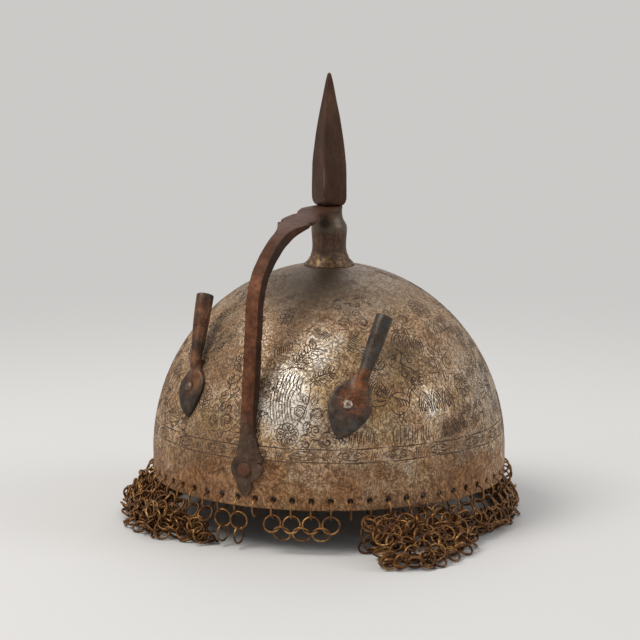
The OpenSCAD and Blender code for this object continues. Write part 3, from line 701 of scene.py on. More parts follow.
# the band: two lines round the bowl, cut in stretches, and cartouches between them
stretch_start = np.arange(BAND_STRETCHES) * 360 / BAND_STRETCHES
for height in BAND_HEIGHTS:
    turn = np.radians(stretch_start[:, None] + np.linspace(0.4, 14.8, LINE_POINTS))
    wander = 0.25 * np.sin(turn * 7 + height) + 0.15 * np.sin(turn * 19)
    cut_lines.append(np.stack([turn, np.arcsin((height + wander) / DOME_H)], -1))
    cut_widths.append(np.full(BAND_STRETCHES, LINE_W))
cartouche = np.concatenate([
    bows([-9, -9], [0, 0], [9, 9], [0, 0], [2.6, -2.6]), leaves([-1, 1], [0, 0], 5, [180, 0]),
    bows([11, 12.2, 13.4], -2.4, [12.2, 13.4, 14.6], 2.4, 0.2),
])
for azimuth in stretch_start + 3.5:
    cut(on_bowl(cartouche, 0.0, *dome_frame(azimuth, sum(BAND_HEIGHTS) / 2)), FINE_W)


def cut_wedges(lines, widths):
    """Wedges of patina as points and quads: three corners across, carried along each line.

    Two corners lie on the plate to either side of the line, the third below it. The width grows
    from a fine end as the root of a sine and falls again, and both ends close to a point.
    """
    azimuth, rise = lines[..., 0], lines[..., 1]
    middle = bowl_point(azimuth, rise)
    level = np.cos(rise) / BOWL_R
    normal = np.stack([np.sin(azimuth) * level, -np.cos(azimuth) * level, np.sin(rise) / DOME_H], -1)
    normal = normal / np.linalg.norm(normal, axis=-1, keepdims=True)
    along = np.gradient(middle, axis=1)
    side = np.cross(normal, along)
    side = side / np.maximum(np.linalg.norm(side, axis=-1, keepdims=True), 1e-9)
    swell = np.sqrt(np.sin(np.linspace(0.12, np.pi - 0.12, lines.shape[1])))
    half = (widths[:, None] * swell / 2)[..., None]
    plate = middle + normal * CUT_OUT
    corners = np.stack([plate + side * half, plate - side * half, middle - normal * CUT_DEEP], 2)
    ends = [np.repeat(middle[:, end, None, None], 3, 2) for end in (0, -1)]
    block = np.concatenate([ends[0], corners, ends[1]], 1)
    quads = repeated(grid(block.shape[1], 3), len(block), block.shape[1] * 3)
    points = block.reshape(-1, 3)
    first, second, third = (points[quads[:, corner]] for corner in range(3))
    return points, quads[:, ::-1] if (np.cross(second, third) * first).sum() < 0 else quads


# short cuts between the figures: even places on a spiral down the bowl, turned by slow waves
TICKS = 9600
TICK_W = 0.44
TICK_BOW = 0.15
GOLDEN_ANGLE = math.radians(137.50776)
TICK_LEAST_RISE = 0.02
TICK_MOST_RISE = 1.36

tick_number = np.arange(TICKS) + 0.5
tick_rise = np.arcsin(np.clip(1.0 - tick_number / TICKS * 1.04, -0.04, 1) * 0.985)
tick_azimuth = tick_number * GOLDEN_ANGLE + graver.uniform(-0.02, 0.02, TICKS)
tick_turn = 1.9 * np.sin(3 * tick_azimuth + 5 * tick_rise)
tick_turn = tick_turn + 1.6 * np.sin(7 * tick_azimuth - 9 * tick_rise + 1)
tick_turn = (tick_turn + graver.normal(0, 0.45, TICKS))[:, None]
tick_half = graver.uniform(0.8, 2.6, TICKS)[:, None] / 2
share = np.linspace(-1, 1, 3)
bow = TICK_BOW * (1 - share**2)
tick_across = tick_half * share * np.cos(tick_turn) + bow
tick_up = tick_half * share * np.sin(tick_turn) + bow
ticks = np.stack([
    tick_azimuth[:, None] + tick_across / (BOWL_R * np.maximum(np.cos(tick_rise), 0.08))[:, None],
    tick_rise[:, None] + tick_up / DOME_H,
], -1)
ticks = ticks[(tick_rise > TICK_LEAST_RISE) & (tick_rise < TICK_MOST_RISE)]

patina_fill = Finish("dark_patina_in_cuts")
fill_grain = patina_fill.noise(2.5, 4, 0.6)
fill_colour = patina_fill.colours(fill_grain, [
    (0.35, (0.030, 0.015, 0.008)), (0.52, (0.075, 0.040, 0.020)), (0.66, (0.150, 0.088, 0.046)),
])
fill_bump = patina_fill.bump(fill_grain, 0.1, 0.4)
fill_finish = patina_fill.metal(fill_colour, 0.72 - fill_grain * 0.1, 0.15, fill_bump)
lines, widths = np.concatenate(cut_lines), np.concatenate(cut_widths)
in_front = np.cos(lines[:, 0, 0] - 0.5) > 0
for name, chosen in (("engraved_lines_front", in_front), ("engraved_lines_back", ~in_front)):
    piece(name, *cut_wedges(lines[chosen], widths[chosen]), fill_finish, "helmet", "bowl")
piece("engraved_ticks", *cut_wedges(ticks, np.full(len(ticks), TICK_W)), fill_finish, "helmet", "bowl")


# Neck socket. An iron socket turned on a lathe, with a flared foot that is brazed to the top of the
# bowl, a swelling body, a rubbed shoulder and a waist under the bar's eye. The spike's tang runs
# through its bore. Specks of yellow brazing metal cling to the foot.

TOP_Z = WIDEST_Z + DOME_H
SEAT = 0.06
BORE_R = 4.05
NECK_H = 32
FOOT_R = 15
# the socket's side from the foot to the eye, as (reach, height above the top of the bowl)
NECK_LINE = (
    (15, -0.6), (14.6, -0.1), (13.4, 1.0), (12.2, 2.5), (11.1, 4.6), (10.3, 7.2), (10.0, 10),
    (10.1, 13.5), (10.4, 17.5), (10.55, 20.8), (10.2, 22.7), (9.3, 24.4), (8.3, 26.3),
    (7.75, 28.6), (7.6, 30.4), (7.6, 31.6), (7.3, 32),
)


def smooth_curve(points, count):
    """A smooth line through points, at count places evenly spaced along its length.

    Between two points it is a cubic whose slope at a point is half the step between that point's
    two neighbours.
    """
    points = np.asarray(points, float)
    before = np.concatenate([points[:1], points[:-1]])
    after = np.concatenate([points[1:], points[-1:]])
    slope = (after - before) / 2
    share = np.linspace(0, 1, 24)[None, :, None]
    square, cube = share**2, share**3
    first, last = points[:-1, None], points[1:, None]
    line = (
        first * (1 - 3 * square + 2 * cube) + last * (3 * square - 2 * cube)
        + slope[:-1, None] * (share - 2 * square + cube) + slope[1:, None] * (cube - square)
    ).reshape(-1, points.shape[1])
    along = np.concatenate([[0], np.cumsum(np.linalg.norm(np.diff(line, axis=0), axis=1))])
    places = np.linspace(0, along[-1], count)
    return np.stack([np.interp(places, along, column) for column in line.T], -1)


def skin(block):
    """Points and outward quads of a closed surface from a grid of points, closed across its columns."""
    points = block.reshape(-1, 3)
    quads = grid(block.shape[0], block.shape[1])
    first, second, third, fourth = (points[quads[:, corner]] for corner in range(4))
    volume = (np.cross(second, third) * first).sum() + (np.cross(third, fourth) * first).sum()
    return points, quads[:, ::-1] if volume < 0 else quads


def joined(*skins):
    """Several closed surfaces as one list of points and one of quads."""
    starts = np.cumsum([0] + [len(points) for points, _ in skins[:-1]])
    quads = [quads + start for (_, quads), start in zip(skins, starts)]
    return np.concatenate([points for points, _ in skins]), np.concatenate(quads)


def turned(profile, sides, uneven):
    """A profile of (reach, height) carried round the axis Z. uneven(turn, height) is added to the reach."""
    profile = np.asarray(profile, float)
    turn = np.arange(sides) * 2 * np.pi / sides
    height = profile[:, 1:] + 0 * turn
    reach = profile[:, :1] + uneven(turn[None, :], height)
    return np.stack([reach * np.cos(turn), reach * np.sin(turn), height], -1)


def bowl_height(reach, out):
    """Height above the top of the bowl of a surface out millimetres outside it, at a reach."""
    return (DOME_H + out) * np.sqrt(1 - (reach / (BOWL_R + out)) ** 2) - DOME_H


neck_side = smooth_curve(NECK_LINE, 64)
under_reach = np.linspace(BORE_R, FOOT_R, 12)
neck_loop = np.concatenate([
    np.stack([under_reach, bowl_height(under_reach, SEAT)], -1), neck_side,
    [[BORE_R, NECK_H], [BORE_R, bowl_height(BORE_R, SEAT)]],
])


def foot_lumps(turn, height):
    """Lumps of brazing metal: crossed waves up to 0.35 mm high that die out above the flared foot."""
    fade = np.clip((9 - height) / 7, 0, 1) * (height > -0.2)
    return fade * (0.22 * np.sin(5 * turn + 0.4) + 0.18 * np.sin(9 * turn + 2 * height + 1.1))


neck_block = turned(neck_loop, 72, foot_lumps)
neck_block[..., 2] += TOP_Z

neck_iron = Finish("turned_neck_iron")
neck_up = neck_iron.z * MM_PER_M - TOP_Z
neck_mottle = neck_iron.noise(6, 5, 0.62)
neck_grain = neck_iron.noise(1.4, 4, 0.6)
neck_round = neck_iron.noise(5, 3, 0.5, stretch=(3, 3, 0.25), at=(0, 0, 2))
neck_streak = neck_iron.noise(2.4, 4, 0.6, stretch=(1, 1, 5), at=(6, 0, 2))
neck_tone = neck_mottle * 0.4 + neck_grain * 0.2 + neck_round * 0.1 + neck_streak * 0.3
neck_colour = neck_iron.colours(neck_tone, [
    (0.38, (0.030, 0.014, 0.007)),
    (0.50, (0.076, 0.036, 0.019)),
    (0.62, (0.175, 0.088, 0.044)),
])
rubbed = neck_up.ramp(17.5, 21.5) * neck_up.ramp(31, 26)
neck_colour = neck_iron.mix(rubbed * 0.6, neck_colour, (0.125, 0.100, 0.068))
brazed = neck_up.ramp(9, 3) * neck_iron.noise(3.0, 4, 0.6, at=(5, 2, 1)).ramp(0.46, 0.62)
neck_colour = neck_iron.mix(brazed * 0.7, neck_colour, (0.300, 0.195, 0.085))
neck_finish = neck_iron.metal(
    neck_colour,
    0.52 - rubbed * 0.14 - brazed * 0.06,
    0.35 + rubbed * 0.2 + brazed * 0.4,
    neck_iron.bump(neck_mottle * 0.6 + neck_grain * 0.4, 0.5, 0.7),
)
piece("turned_neck_socket", *skin(neck_block), neck_finish, "helmet", "neck", ["neck_socket"])


# Spike. Forged iron: a square bar with a rounded base, drawn out to a four-sided point, and below
# it a round tang that is hammered over the washer inside the bowl. One edge faces the front.

SPIKE_Z = 184.76
SPIKE_TURN = math.radians(55)
TANG_END_Z = 143.26
SPIKE_H = 78
SPIKE_SIDES = 64
EDGE_POWER = 16
# half the spike's width, and the height above the eye
SPIKE_LINE = (
    (5.1, 0), (5.9, 0.15), (6.7, 0.8), (7.3, 1.8), (7.7, 3.2), (7.88, 4.6), (7.92, 10), (7.85, 18),
    (7.7, 24.5), (7.48, 27.5), (7.05, 32.8), (6.12, 42.1), (4.72, 53), (3.32, 61.9), (1.98, 71),
    (1.2, 75.5), (0.76, 77.4), (0.32, 77.95),
)
# the hammered end of the tang and its way up to the spike, as (reach, height)
TANG_LINE = ((0, 0), (3.2, 0), (4, 0.4), (6, 1.5), (6, 3), (4, 3), (4, 3.2))
TANG_TOP = ((4, -0.3), (4, 0))

spike_side = np.concatenate([smooth_curve(SPIKE_LINE, 90), [[0, SPIKE_H]]])
tang_side = np.concatenate([np.asarray(TANG_LINE) + (0, TANG_END_Z - SPIKE_Z), TANG_TOP])
spike_line = np.concatenate([tang_side, spike_side])
square = np.concatenate([np.zeros(len(tang_side)), np.ones(len(spike_side))])[:, None]
even_turn = np.arange(SPIKE_SIDES) * 2 * np.pi / SPIKE_SIDES
spike_turn = even_turn + 0.12 * np.sin(4 * even_turn)
# square section with rounded edges: half width over the 16th root of cos^16 + sin^16
powers = np.abs(np.cos(spike_turn)) ** EDGE_POWER + np.abs(np.sin(spike_turn)) ** EDGE_POWER
rounded_square = powers ** (-1 / EDGE_POWER)
worn_edge = 1 - 0.004 * (1 + np.sin(spike_line[:, 1:] * 0.37 + 3 * spike_turn)) * (rounded_square - 1) / 0.4
spike_reach = spike_line[:, :1] * (1 + square * (rounded_square * worn_edge - 1))
spike_block = np.stack([
    spike_reach * np.cos(spike_turn + SPIKE_TURN),
    spike_reach * np.sin(spike_turn + SPIKE_TURN),
    SPIKE_Z + spike_line[:, 1:] + 0 * spike_turn,
], -1)

spike_iron = Finish("forged_spike_iron")
spike_up = spike_iron.z * MM_PER_M - SPIKE_Z
spike_mottle = spike_iron.noise(8, 5, 0.6, stretch=(1, 1, 2.5))
spike_grain = spike_iron.noise(1.2, 4, 0.65)
spike_tone = spike_mottle * 0.7 + spike_grain * 0.3
spike_colour = spike_iron.colours(spike_tone, [
    (0.36, (0.042, 0.022, 0.014)),
    (0.50, (0.066, 0.034, 0.021)),
    (0.64, (0.104, 0.050, 0.030)),
])
# bright wear and a painted highlight along the four edges, where the places across the two faces are alike
turn_back = {"Vector": spike_iron.place, "Angle": -SPIKE_TURN}
turned_place = spike_iron.node("ShaderNodeVectorRotate", turn_back, rotation_type="Z_AXIS")
across = spike_iron.node("ShaderNodeVectorMath", {0: turned_place}, operation="ABSOLUTE")
across_x = spike_iron.node("ShaderNodeSeparateXYZ", {0: across}, output="X") * MM_PER_M
across_y = spike_iron.node("ShaderNodeSeparateXYZ", {0: across}, output="Y") * MM_PER_M
edge_near = spike_iron.node("ShaderNodeMath", {0: across_x - across_y}, operation="ABSOLUTE")
broken = spike_iron.noise(14, 2, 0.5, at=(0, 4, 0)).ramp(0.36, 0.56)
edge_wear_and_highlight = edge_near.ramp(1.1, 0.2) * broken * spike_up.ramp(52, 28)
spike_colour = spike_iron.mix(edge_wear_and_highlight * 0.6, spike_colour, (0.250, 0.150, 0.110))
spike_finish = spike_iron.metal(
    spike_colour,
    0.47 - edge_wear_and_highlight * 0.12,
    0.40 + edge_wear_and_highlight * 0.3,
    spike_iron.bump(spike_mottle * 0.6 + spike_grain * 0.4, 0.45, 0.7),
    Specular_IOR_Level=0.15,
)
piece("forged_spike", *skin(spike_block), spike_finish, "helmet", "spike", ["spike"])


# Tang washer and burrs. Plain iron washers inside the bowl, cut from plate, dull and a little rusty.
# The spike's tang and the rivets are hammered over them.

inner_iron = Finish("dull_inner_iron")
inner_mottle = inner_iron.noise(4, 5, 0.6)
inner_grain = inner_iron.noise(0.9, 3, 0.6)
inner_colour = inner_iron.colours(inner_mottle * 0.7 + inner_grain * 0.3, [
    (0.38, (0.050, 0.030, 0.020)),
    (0.52, (0.125, 0.088, 0.064)),
    (0.64, (0.210, 0.165, 0.130)),
])
inner_bump = inner_iron.bump(inner_mottle + inner_grain * 0.5, 0.2, 0.5)
inner_finish = inner_iron.metal(inner_colour, 0.55 + inner_mottle * 0.1, 0.5, inner_bump)
for washer in ("tang_washer", "brace_burr", "plume_burr_right", "plume_burr_left"):
    washer_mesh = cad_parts[washer].data
    washer_mesh.materials.clear()
    washer_mesh.materials.append(inner_finish)


# Brace bar. One forged iron bar. Its flattened, lobed lower end is riveted to the front of the bowl.
# The shank rises, arches over and is flattened again into a lobed plate, whose eye sits under the
# spike. The edges are rubbed round by handling.

BAR_W = 8.3
BAR_T = 6.5
PLATE_T = 2.2
BAR_LEAN = math.radians(6.2)
STRAIGHT_H = 97
FULL_H = 50
BEND_R = 38.7
BEND_END = math.radians(135)
CROWN_SLOPE = math.radians(10.7)
CROWN_SHOULDER = 45.5
CROWN_FLARE = 17
EYE_R = 7.8
BAR_FOOT_H = 16
BAR_TIP_H = -8.5
FOOT_RIVET_H = 7.1
BAR_EDGE = 0.55
SHANK_FROM = 140
# half widths of the lower end, to the right and to the left, as (half width, height from the rivet)
FOOT_RIGHT = (
    (0.1, -15.6), (1.3, -14.9), (2.7, -13.2), (4.6, -9.8), (3.9, -7.6), (5.9, -6.1), (8.4, -3.7),
    (10.1, -1.6), (10.8, 0.6), (10.3, 2.6), (9.3, 3.7), (7.6, 4.0), (10.6, 6.1), (8.9, 9),
    (7.3, 12.4), (5.6, 17.6), (4.6, 22), (4.15, 26),
)
FOOT_LEFT = (
    (0.1, -15.6), (1.2, -15.2), (2.4, -14.1), (4.2, -11.7), (5.3, -8.5), (5.1, -6.9), (6.9, -5.3),
    (8.5, -2.8), (9.3, 0.2), (8.9, 3.1), (7.5, 5.6), (5.6, 7.5), (6.4, 9.2), (5.3, 12.4),
    (4.6, 16.6), (4.15, 22),
)
# half widths of the upper end, as (half width, distance from the axis)
CROWN_SIDE = (
    (7.8, 0), (8.2, 5.5), (9.2, 11.5), (9.4, 17.5), (9.0, 22.5), (8.5, 25), (7.2, 28), (8.6, 30),
    (9.9, 33.5), (10.8, 37.5), (10.6, 41), (9.5, 43.3), (8.0, 44.3), (10.4, 45.5), (8.6, 49.5),
    (6.7, 53.5), (5.2, 57.5), (4.15, 62.5),
)


def bend(start, heading, from_heading, radius):
    """Places on a bend of one radius that leaves start at from_heading, at each heading on it."""
    way = [np.sin(heading) - math.sin(from_heading), math.cos(from_heading) - np.cos(heading)]
    return start + radius * np.stack(way, -1)


def bar_outer_line():
    """Outer line of the bar as (out, up) with its heading, from the tip up to the eye.

    It follows the bowl up to 16 mm, leans straight to 97 mm, bends on one radius to 135 degrees,
    on a wider one to the crown's slope, and runs straight down that slope to the level eye.
    """
    low = np.linspace(BAR_TIP_H, BAR_FOOT_H, 60)
    foot_out = reach_at(BAR_FOOT_H, SEAT + PLATE_T) + 0.1
    lean = np.linspace(BAR_FOOT_H, STRAIGHT_H, 90)[1:]
    start = np.array([foot_out - (STRAIGHT_H - BAR_FOOT_H) * math.tan(BAR_LEAN), STRAIGHT_H])
    bend_from = math.pi / 2 + BAR_LEAN
    crown_end = math.pi - CROWN_SLOPE
    top = DOME_H + NECK_H + PLATE_T
    slope_end = 2.4 * EYE_R
    close = np.linspace(bend_from, BEND_END, 14)[1:]
    shoulder = bend(start, close, bend_from, BEND_R)
    stop = shoulder[-1]
    crown_r = (top - stop[1] - (stop[0] - slope_end) * math.tan(CROWN_SLOPE)) / (
        math.cos(BEND_END) - math.cos(crown_end)
        - (math.sin(BEND_END) - math.sin(crown_end)) * math.tan(CROWN_SLOPE)
    )
    wide = np.linspace(BEND_END, crown_end, 24)[1:]
    crown = bend(stop, wide, BEND_END, crown_r)
    slope_out = np.arange(crown[-1][0], slope_end, -0.6)[1:]
    slope = np.stack([slope_out, crown[-1][1] + (crown[-1][0] - slope_out) * math.tan(CROWN_SLOPE)], -1)
    eye_rim = -EYE_R * np.sin(np.linspace(1.05, np.pi / 2, 8))
    eye_out = np.concatenate([np.arange(slope_end, -EYE_R + 1.2, -0.7), eye_rim])
    eye = np.stack([eye_out, 0 * eye_out + top], -1)
    foot = np.stack([reach_at(low, SEAT + PLATE_T), low], -1)
    shank = np.stack([foot_out - (lean - BAR_FOOT_H) * math.tan(BAR_LEAN), lean], -1)
    heading = np.concatenate([
        0 * low + math.pi / 2, 0 * lean + bend_from, close, wide, 0 * slope_out + crown_end,
        0 * eye_out + math.pi,
    ])
    return np.concatenate([foot, shank, shoulder, crown, slope, eye]), heading


bar_line, bar_heading = bar_outer_line()
bar_out, bar_up = bar_line.T
thick = PLATE_T + (BAR_T - PLATE_T) * np.clip((bar_out - CROWN_SHOULDER) / CROWN_FLARE, 0, 1)
inner_line = bar_line - thick[:, None] * np.stack([np.sin(bar_heading), -np.cos(bar_heading)], -1)
low_part = bar_up < FULL_H
full_out = np.interp(FULL_H, bar_up[:SHANK_FROM], bar_out[:SHANK_FROM]) - BAR_T
low_inner = reach_at(np.minimum(bar_up, 30), SEAT)
rising = np.interp(bar_up, [30, FULL_H], [reach_at(30.0, SEAT), full_out])
inner_line[low_part, 0] = np.where(bar_up < 30, low_inner, rising)[low_part]
inner_line[low_part, 1] = bar_up[low_part]


def half_width(outline, place, rounded=220):
    """Half width of an outline at a place along it, its corners rounded by a smooth curve."""
    line = smooth_curve(outline, rounded)
    return np.interp(place, np.maximum.accumulate(line[:, 1]), line[:, 0])


right_half = np.where(low_part, half_width(FOOT_RIGHT, bar_up - FOOT_RIVET_H), BAR_W / 2)
left_half = np.where(low_part, half_width(FOOT_LEFT, bar_up - FOOT_RIVET_H), BAR_W / 2)
in_crown = (bar_out < CROWN_SHOULDER + CROWN_FLARE) & (bar_up > STRAIGHT_H)
crown_half = half_width(CROWN_SIDE, bar_out)
round_eye = np.sqrt(np.clip(EYE_R**2 - bar_out**2, 0, None))
crown_half = np.where(bar_out < 0, round_eye, crown_half)
right_half = np.where(in_crown, crown_half, right_half)
left_half = np.where(in_crown, crown_half, left_half)
# a little uneven along the shank, as a hammer leaves it
hammered = 0.10 * np.sin(bar_up * 0.31) + 0.07 * np.sin(bar_up * 0.83 + 1)
right_half = right_half + hammered * (bar_out > 0)
left_half = left_half - 0.7 * hammered * (bar_out > 0)

section_turn = np.linspace(0, np.pi / 2, 5)
face_share = np.linspace(-1, 1, 7)[1:-1]
bar_thick = np.linalg.norm(bar_line - inner_line, axis=1)
bar_edge = np.minimum(BAR_EDGE, 0.45 * np.minimum(bar_thick, right_half + left_half))[:, None]
middle = (right_half - left_half)[:, None] / 2
half = (right_half + left_half)[:, None] / 2
depth = bar_thick[:, None]
arc_x, arc_t = np.sin(section_turn), np.cos(section_turn)
flat_x = face_share * (half - bar_edge)
section_x = np.concatenate([
    flat_x, half - bar_edge + bar_edge * arc_x, half - bar_edge + bar_edge * arc_t, flat_x[:, ::-1],
    -(half - bar_edge + bar_edge * arc_x), -(half - bar_edge + bar_edge * arc_t),
], 1) + middle
section_t = np.concatenate([
    0 * flat_x, bar_edge * (1 - arc_t), depth - bar_edge * (1 - arc_x), depth + 0 * flat_x,
    depth - bar_edge * (1 - arc_t), bar_edge * (1 - arc_x),
], 1) / depth
hug = np.clip((34 - bar_up) / 14, 0, 1)[:, None] * section_x**2 / (2 * BOWL_R)
section_out = bar_out[:, None] + (inner_line[:, :1] - bar_out[:, None]) * section_t - hug
section_up = bar_up[:, None] + (inner_line[:, 1:] - bar_up[:, None]) * section_t
bar_block = np.stack([section_x, -section_out, WIDEST_Z + section_up], -1)
bar_ends = [np.repeat(bar_block[end].mean(0)[None], bar_block.shape[1], 0)[None] for end in (0, -1)]
bar_block = np.concatenate([bar_ends[0], bar_block, bar_ends[1]])

bar_iron = Finish("reddish_forged_iron")
bar_height = bar_iron.z * MM_PER_M - WIDEST_Z
bar_broad = bar_iron.noise(26, 3, 0.5, stretch=(1, 1, 1.6))
bar_mottle = bar_iron.noise(5, 5, 0.62)
bar_grain = bar_iron.noise(1.0, 4, 0.65)
bar_tone = bar_broad * 0.4 + bar_mottle * 0.4 + bar_grain * 0.2
bar_aside = bar_iron.node("ShaderNodeVectorMath", {0: bar_iron.place}, operation="ABSOLUTE")
bar_across = bar_iron.node("ShaderNodeSeparateXYZ", {0: bar_aside}, output="X") * MM_PER_M
bar_reach = bar_iron.node("ShaderNodeSeparateXYZ", {0: bar_aside}, output="Y") * MM_PER_M
# painted shade: the side faces of the upper shank are darkened as if they stood in shade
side_face_painted_shade = bar_across.ramp(3.6, 4.0) * bar_height.ramp(24, 46) * bar_reach.ramp(54, 66)
red_brown = bar_iron.colours(bar_tone, [
    (0.40, (0.044, 0.018, 0.010)),
    (0.50, (0.110, 0.042, 0.021)),
    (0.60, (0.200, 0.080, 0.042)),
])
grey_brown = bar_iron.colours(bar_tone, [
    (0.40, (0.038, 0.026, 0.018)),
    (0.50, (0.088, 0.058, 0.038)),
    (0.60, (0.160, 0.100, 0.070)),
])
grey_low = bar_height.ramp(44, 22) + bar_iron.noise(14, 3, 0.5, at=(2, 0, 6)).ramp(0.56, 0.68) * 0.35
bar_colour = bar_iron.mix(grey_low.least(1.0) * 0.85, red_brown, grey_brown)
bar_colour = bar_iron.mix(bar_height.ramp(104, 134) * 0.68, bar_colour, (0.042, 0.018, 0.009))
bar_colour = bar_iron.mix(side_face_painted_shade * 0.7, bar_colour, (0.020, 0.012, 0.009))
rivet_place = (0, -reach_at(FOOT_RIVET_H, 3.5), WIDEST_Z + FOOT_RIVET_H)
bar_colour = bar_iron.mix(bar_iron.near(rivet_place, 4.6, 0.5) * 0.6, bar_colour, (0.150, 0.056, 0.032))
bar_finish = bar_iron.metal(
    bar_colour,
    0.62 - bar_mottle * 0.14,
    0.22 + bar_broad * 0.15,
    bar_iron.bump(bar_mottle * 0.6 + bar_grain * 0.4, 0.4, 0.7),
    Specular_IOR_Level=0.12,
)
piece("forged_brace_bar", *skin(bar_block), bar_finish, "helmet", "bar", ["brace_bar"])


# Rivets. Iron rivets with a wide flat head on the bar and domed heads on the plume sockets. The
# inner ends are spread over the burrs. The right socket's rivet is rubbed bright.

SHANK_R = 1.7
SPREAD = 0.8
BURR_T = 1
# heads as (reach, height), from the middle of the top to the shank
WIDE_HEAD = ((0, 1.25), (1.6, 1.22), (2.9, 1.1), (3.5, 0.95), (3.95, 0.55), (4.1, 0.15), (4.05, 0))
ROUND_HEAD = ((0, 1.7), (0.9, 1.66), (1.7, 1.45), (2.35, 1.0), (2.8, 0.4), (2.95, 0.1), (2.9, 0))


def rivet(head, through):
    """A rivet's profile as (reach, height): the head, then the shank and its spread end."""
    end = [
        (SHANK_R, 0), (SHANK_R, -through), (SHANK_R + SPREAD, 0.15 - SPREAD - through),
        (SHANK_R + 0.5, -SPREAD - through), (0, -SPREAD - through),
    ]
    return np.array(list(head) + end)


def placed(block, origin, axes, lift=0.0):
    """A block of points in a frame's axes, lifted along its last axis, as points of the helmet."""
    return origin + (block + np.array([0, 0, lift])) @ axes


def uneven_head(turn, height):
    """A head set by hand: two slow waves round it, up to 0.12 mm."""
    return (height > 0.05) * (0.08 * np.sin(2 * turn + 0.7) + 0.05 * np.sin(5 * turn + 2))


foot_origin = np.array([0, -reach_at(FOOT_RIVET_H, 0), WIDEST_Z + FOOT_RIVET_H])
foot_axes = np.array([[1, 0, 0], [0, 0, 1], [0, -1, 0]])
foot_head_lift = PLATE_T + 5 * SEAT
foot_through = foot_head_lift + WALL + 7 * SEAT + BURR_T
foot_rivet = turned(rivet(WIDE_HEAD, foot_through), 40, uneven_head)
foot_rivet = placed(foot_rivet, foot_origin, foot_axes, foot_head_lift)
piece("wide_headed_rivet", *skin(foot_rivet), bar_finish, "helmet", "bar", ["brace_rivet"])

socket_frames = {side: dome_frame(*place) for side, place in SOCKETS.items()}
head_lift = PLATE_T + 3 * SEAT
plume_through = PLATE_T + SEAT + WALL + BURR_T + 5 * SEAT
leaf_rivet = turned(rivet(ROUND_HEAD, plume_through), 32, uneven_head)
rubbed_steel = Finish("rubbed_bright_steel")
rub = rubbed_steel.noise(1.6, 4, 0.6)
rub_colour = rubbed_steel.colours(rub, [
    (0.38, (0.130, 0.080, 0.055)), (0.50, (0.300, 0.220, 0.170)), (0.62, (0.550, 0.460, 0.380)),
])
rubbed_finish = rubbed_steel.metal(rub_colour, 0.40 + rub * 0.14, 0.7, rubbed_steel.bump(rub, 0.3, 0.7))
rivet_iron = Finish("brown_rivet_iron")
rivet_mottle = rivet_iron.noise(2.2, 4, 0.6)
rivet_colour = rivet_iron.colours(rivet_mottle, [
    (0.36, (0.045, 0.026, 0.018)), (0.50, (0.110, 0.062, 0.042)), (0.64, (0.200, 0.120, 0.085)),
])
rivet_bump = rivet_iron.bump(rivet_mottle, 0.25, 0.7)
rivet_finish = rivet_iron.metal(rivet_colour, 0.52 - rivet_mottle * 0.15, 0.4, rivet_bump)
for side, finish, slot in (("right", rubbed_finish, "bright_rivet"), ("left", rivet_finish, "dark_rivet")):
    set_rivet = placed(leaf_rivet, *socket_frames[side], head_lift)
    piece("leaf_rivet_" + side, *skin(set_rivet), finish, "helmet", slot, ["plume_rivet_" + side])


# Plume sockets. Each is forged in one from an iron rod: hammered out to a leaf that is riveted to
# the bowl, and drawn up into a tapered tube that held the stem of a feather plume.

# height of the leaf's tip and top from the rivet, half width, and how far its middle lies to the right
LEAVES = {"right": (-19.5, 22, 12.5, 1.5), "left": (-17.2, 15.8, 11.2, -0.3)}
TUBE_ASIDE = 3
TUBE_FROM = 13.5
TUBE_RISE = 3.4
TUBE_L = 41
TUBE_FOOT_R = 2.8
TUBE_MOUTH_R = 5
TUBE_BORE_R = 3.8
TUBE_BORE_L = 26
TUBE_TILT = math.radians(2)
RIDGE_H = 4.1
RIDGE_W = 3.1
# rows of a leaf from the middle of its outer face over its edge to the middle of its back: the share
# of the outline's reach, and the height above the bowl
LEAF_ROWS = np.array([
    (0.0, 2.26), (0.15, 2.26), (0.3, 2.26), (0.45, 2.26), (0.6, 2.25), (0.74, 2.22), (0.86, 2.15),
    (0.93, 2.05), (0.972, 1.84), (0.993, 1.45), (1.0, 1.0), (0.997, 0.5), (0.985, 0.16),
    (0.97, 0.06), (0.6, 0.06), (0.3, 0.06), (0.0, 0.06),
])


def leaf_middle(shape, y):
    """The leaf's middle line, which shifts to the tube's above a quarter of its height."""
    top, aside = shape[1], shape[3]
    return aside + (TUBE_ASIDE - aside) * np.clip((y - top / 4) / (top * 0.75), 0, 1) ** 2


def leaf_outline(shape, count):
    """The leaf's edge, counted round from the tip: egg-shaped, drawn in to the tube above.

    Below its widest place the half width grows as a power of a sine from a rounded tip. Above it,
    it falls as the square of a cosine.
    """
    tip, top, half = shape[:3]
    share = np.linspace(0, 1, count)
    low_y = tip - 0.6 + (1.6 - tip) * share**1.7
    low_half = 1.6 + (half - 1.6) * np.sin(np.clip((low_y - tip) / (1 - tip), 0, 1) * np.pi / 2) ** 0.9
    low_half = low_half * np.sqrt(1 - (1 - np.clip((low_y - tip + 0.6) / 2.2, 0, 1)) ** 2)
    high_y = 1 + (top - 1) * share[1:]
    high_half = TUBE_FOOT_R + 0.5 + (half - TUBE_FOOT_R - 0.5) * np.cos(share[1:] * np.pi / 2) ** 2
    y = np.concatenate([low_y, high_y])
    half_width = np.concatenate([low_half, high_half])
    right = np.stack([leaf_middle(shape, y) + half_width, y], -1)
    left = np.stack([leaf_middle(shape, y) - half_width, y], -1)
    return np.concatenate([right, left[::-1][:-1]])


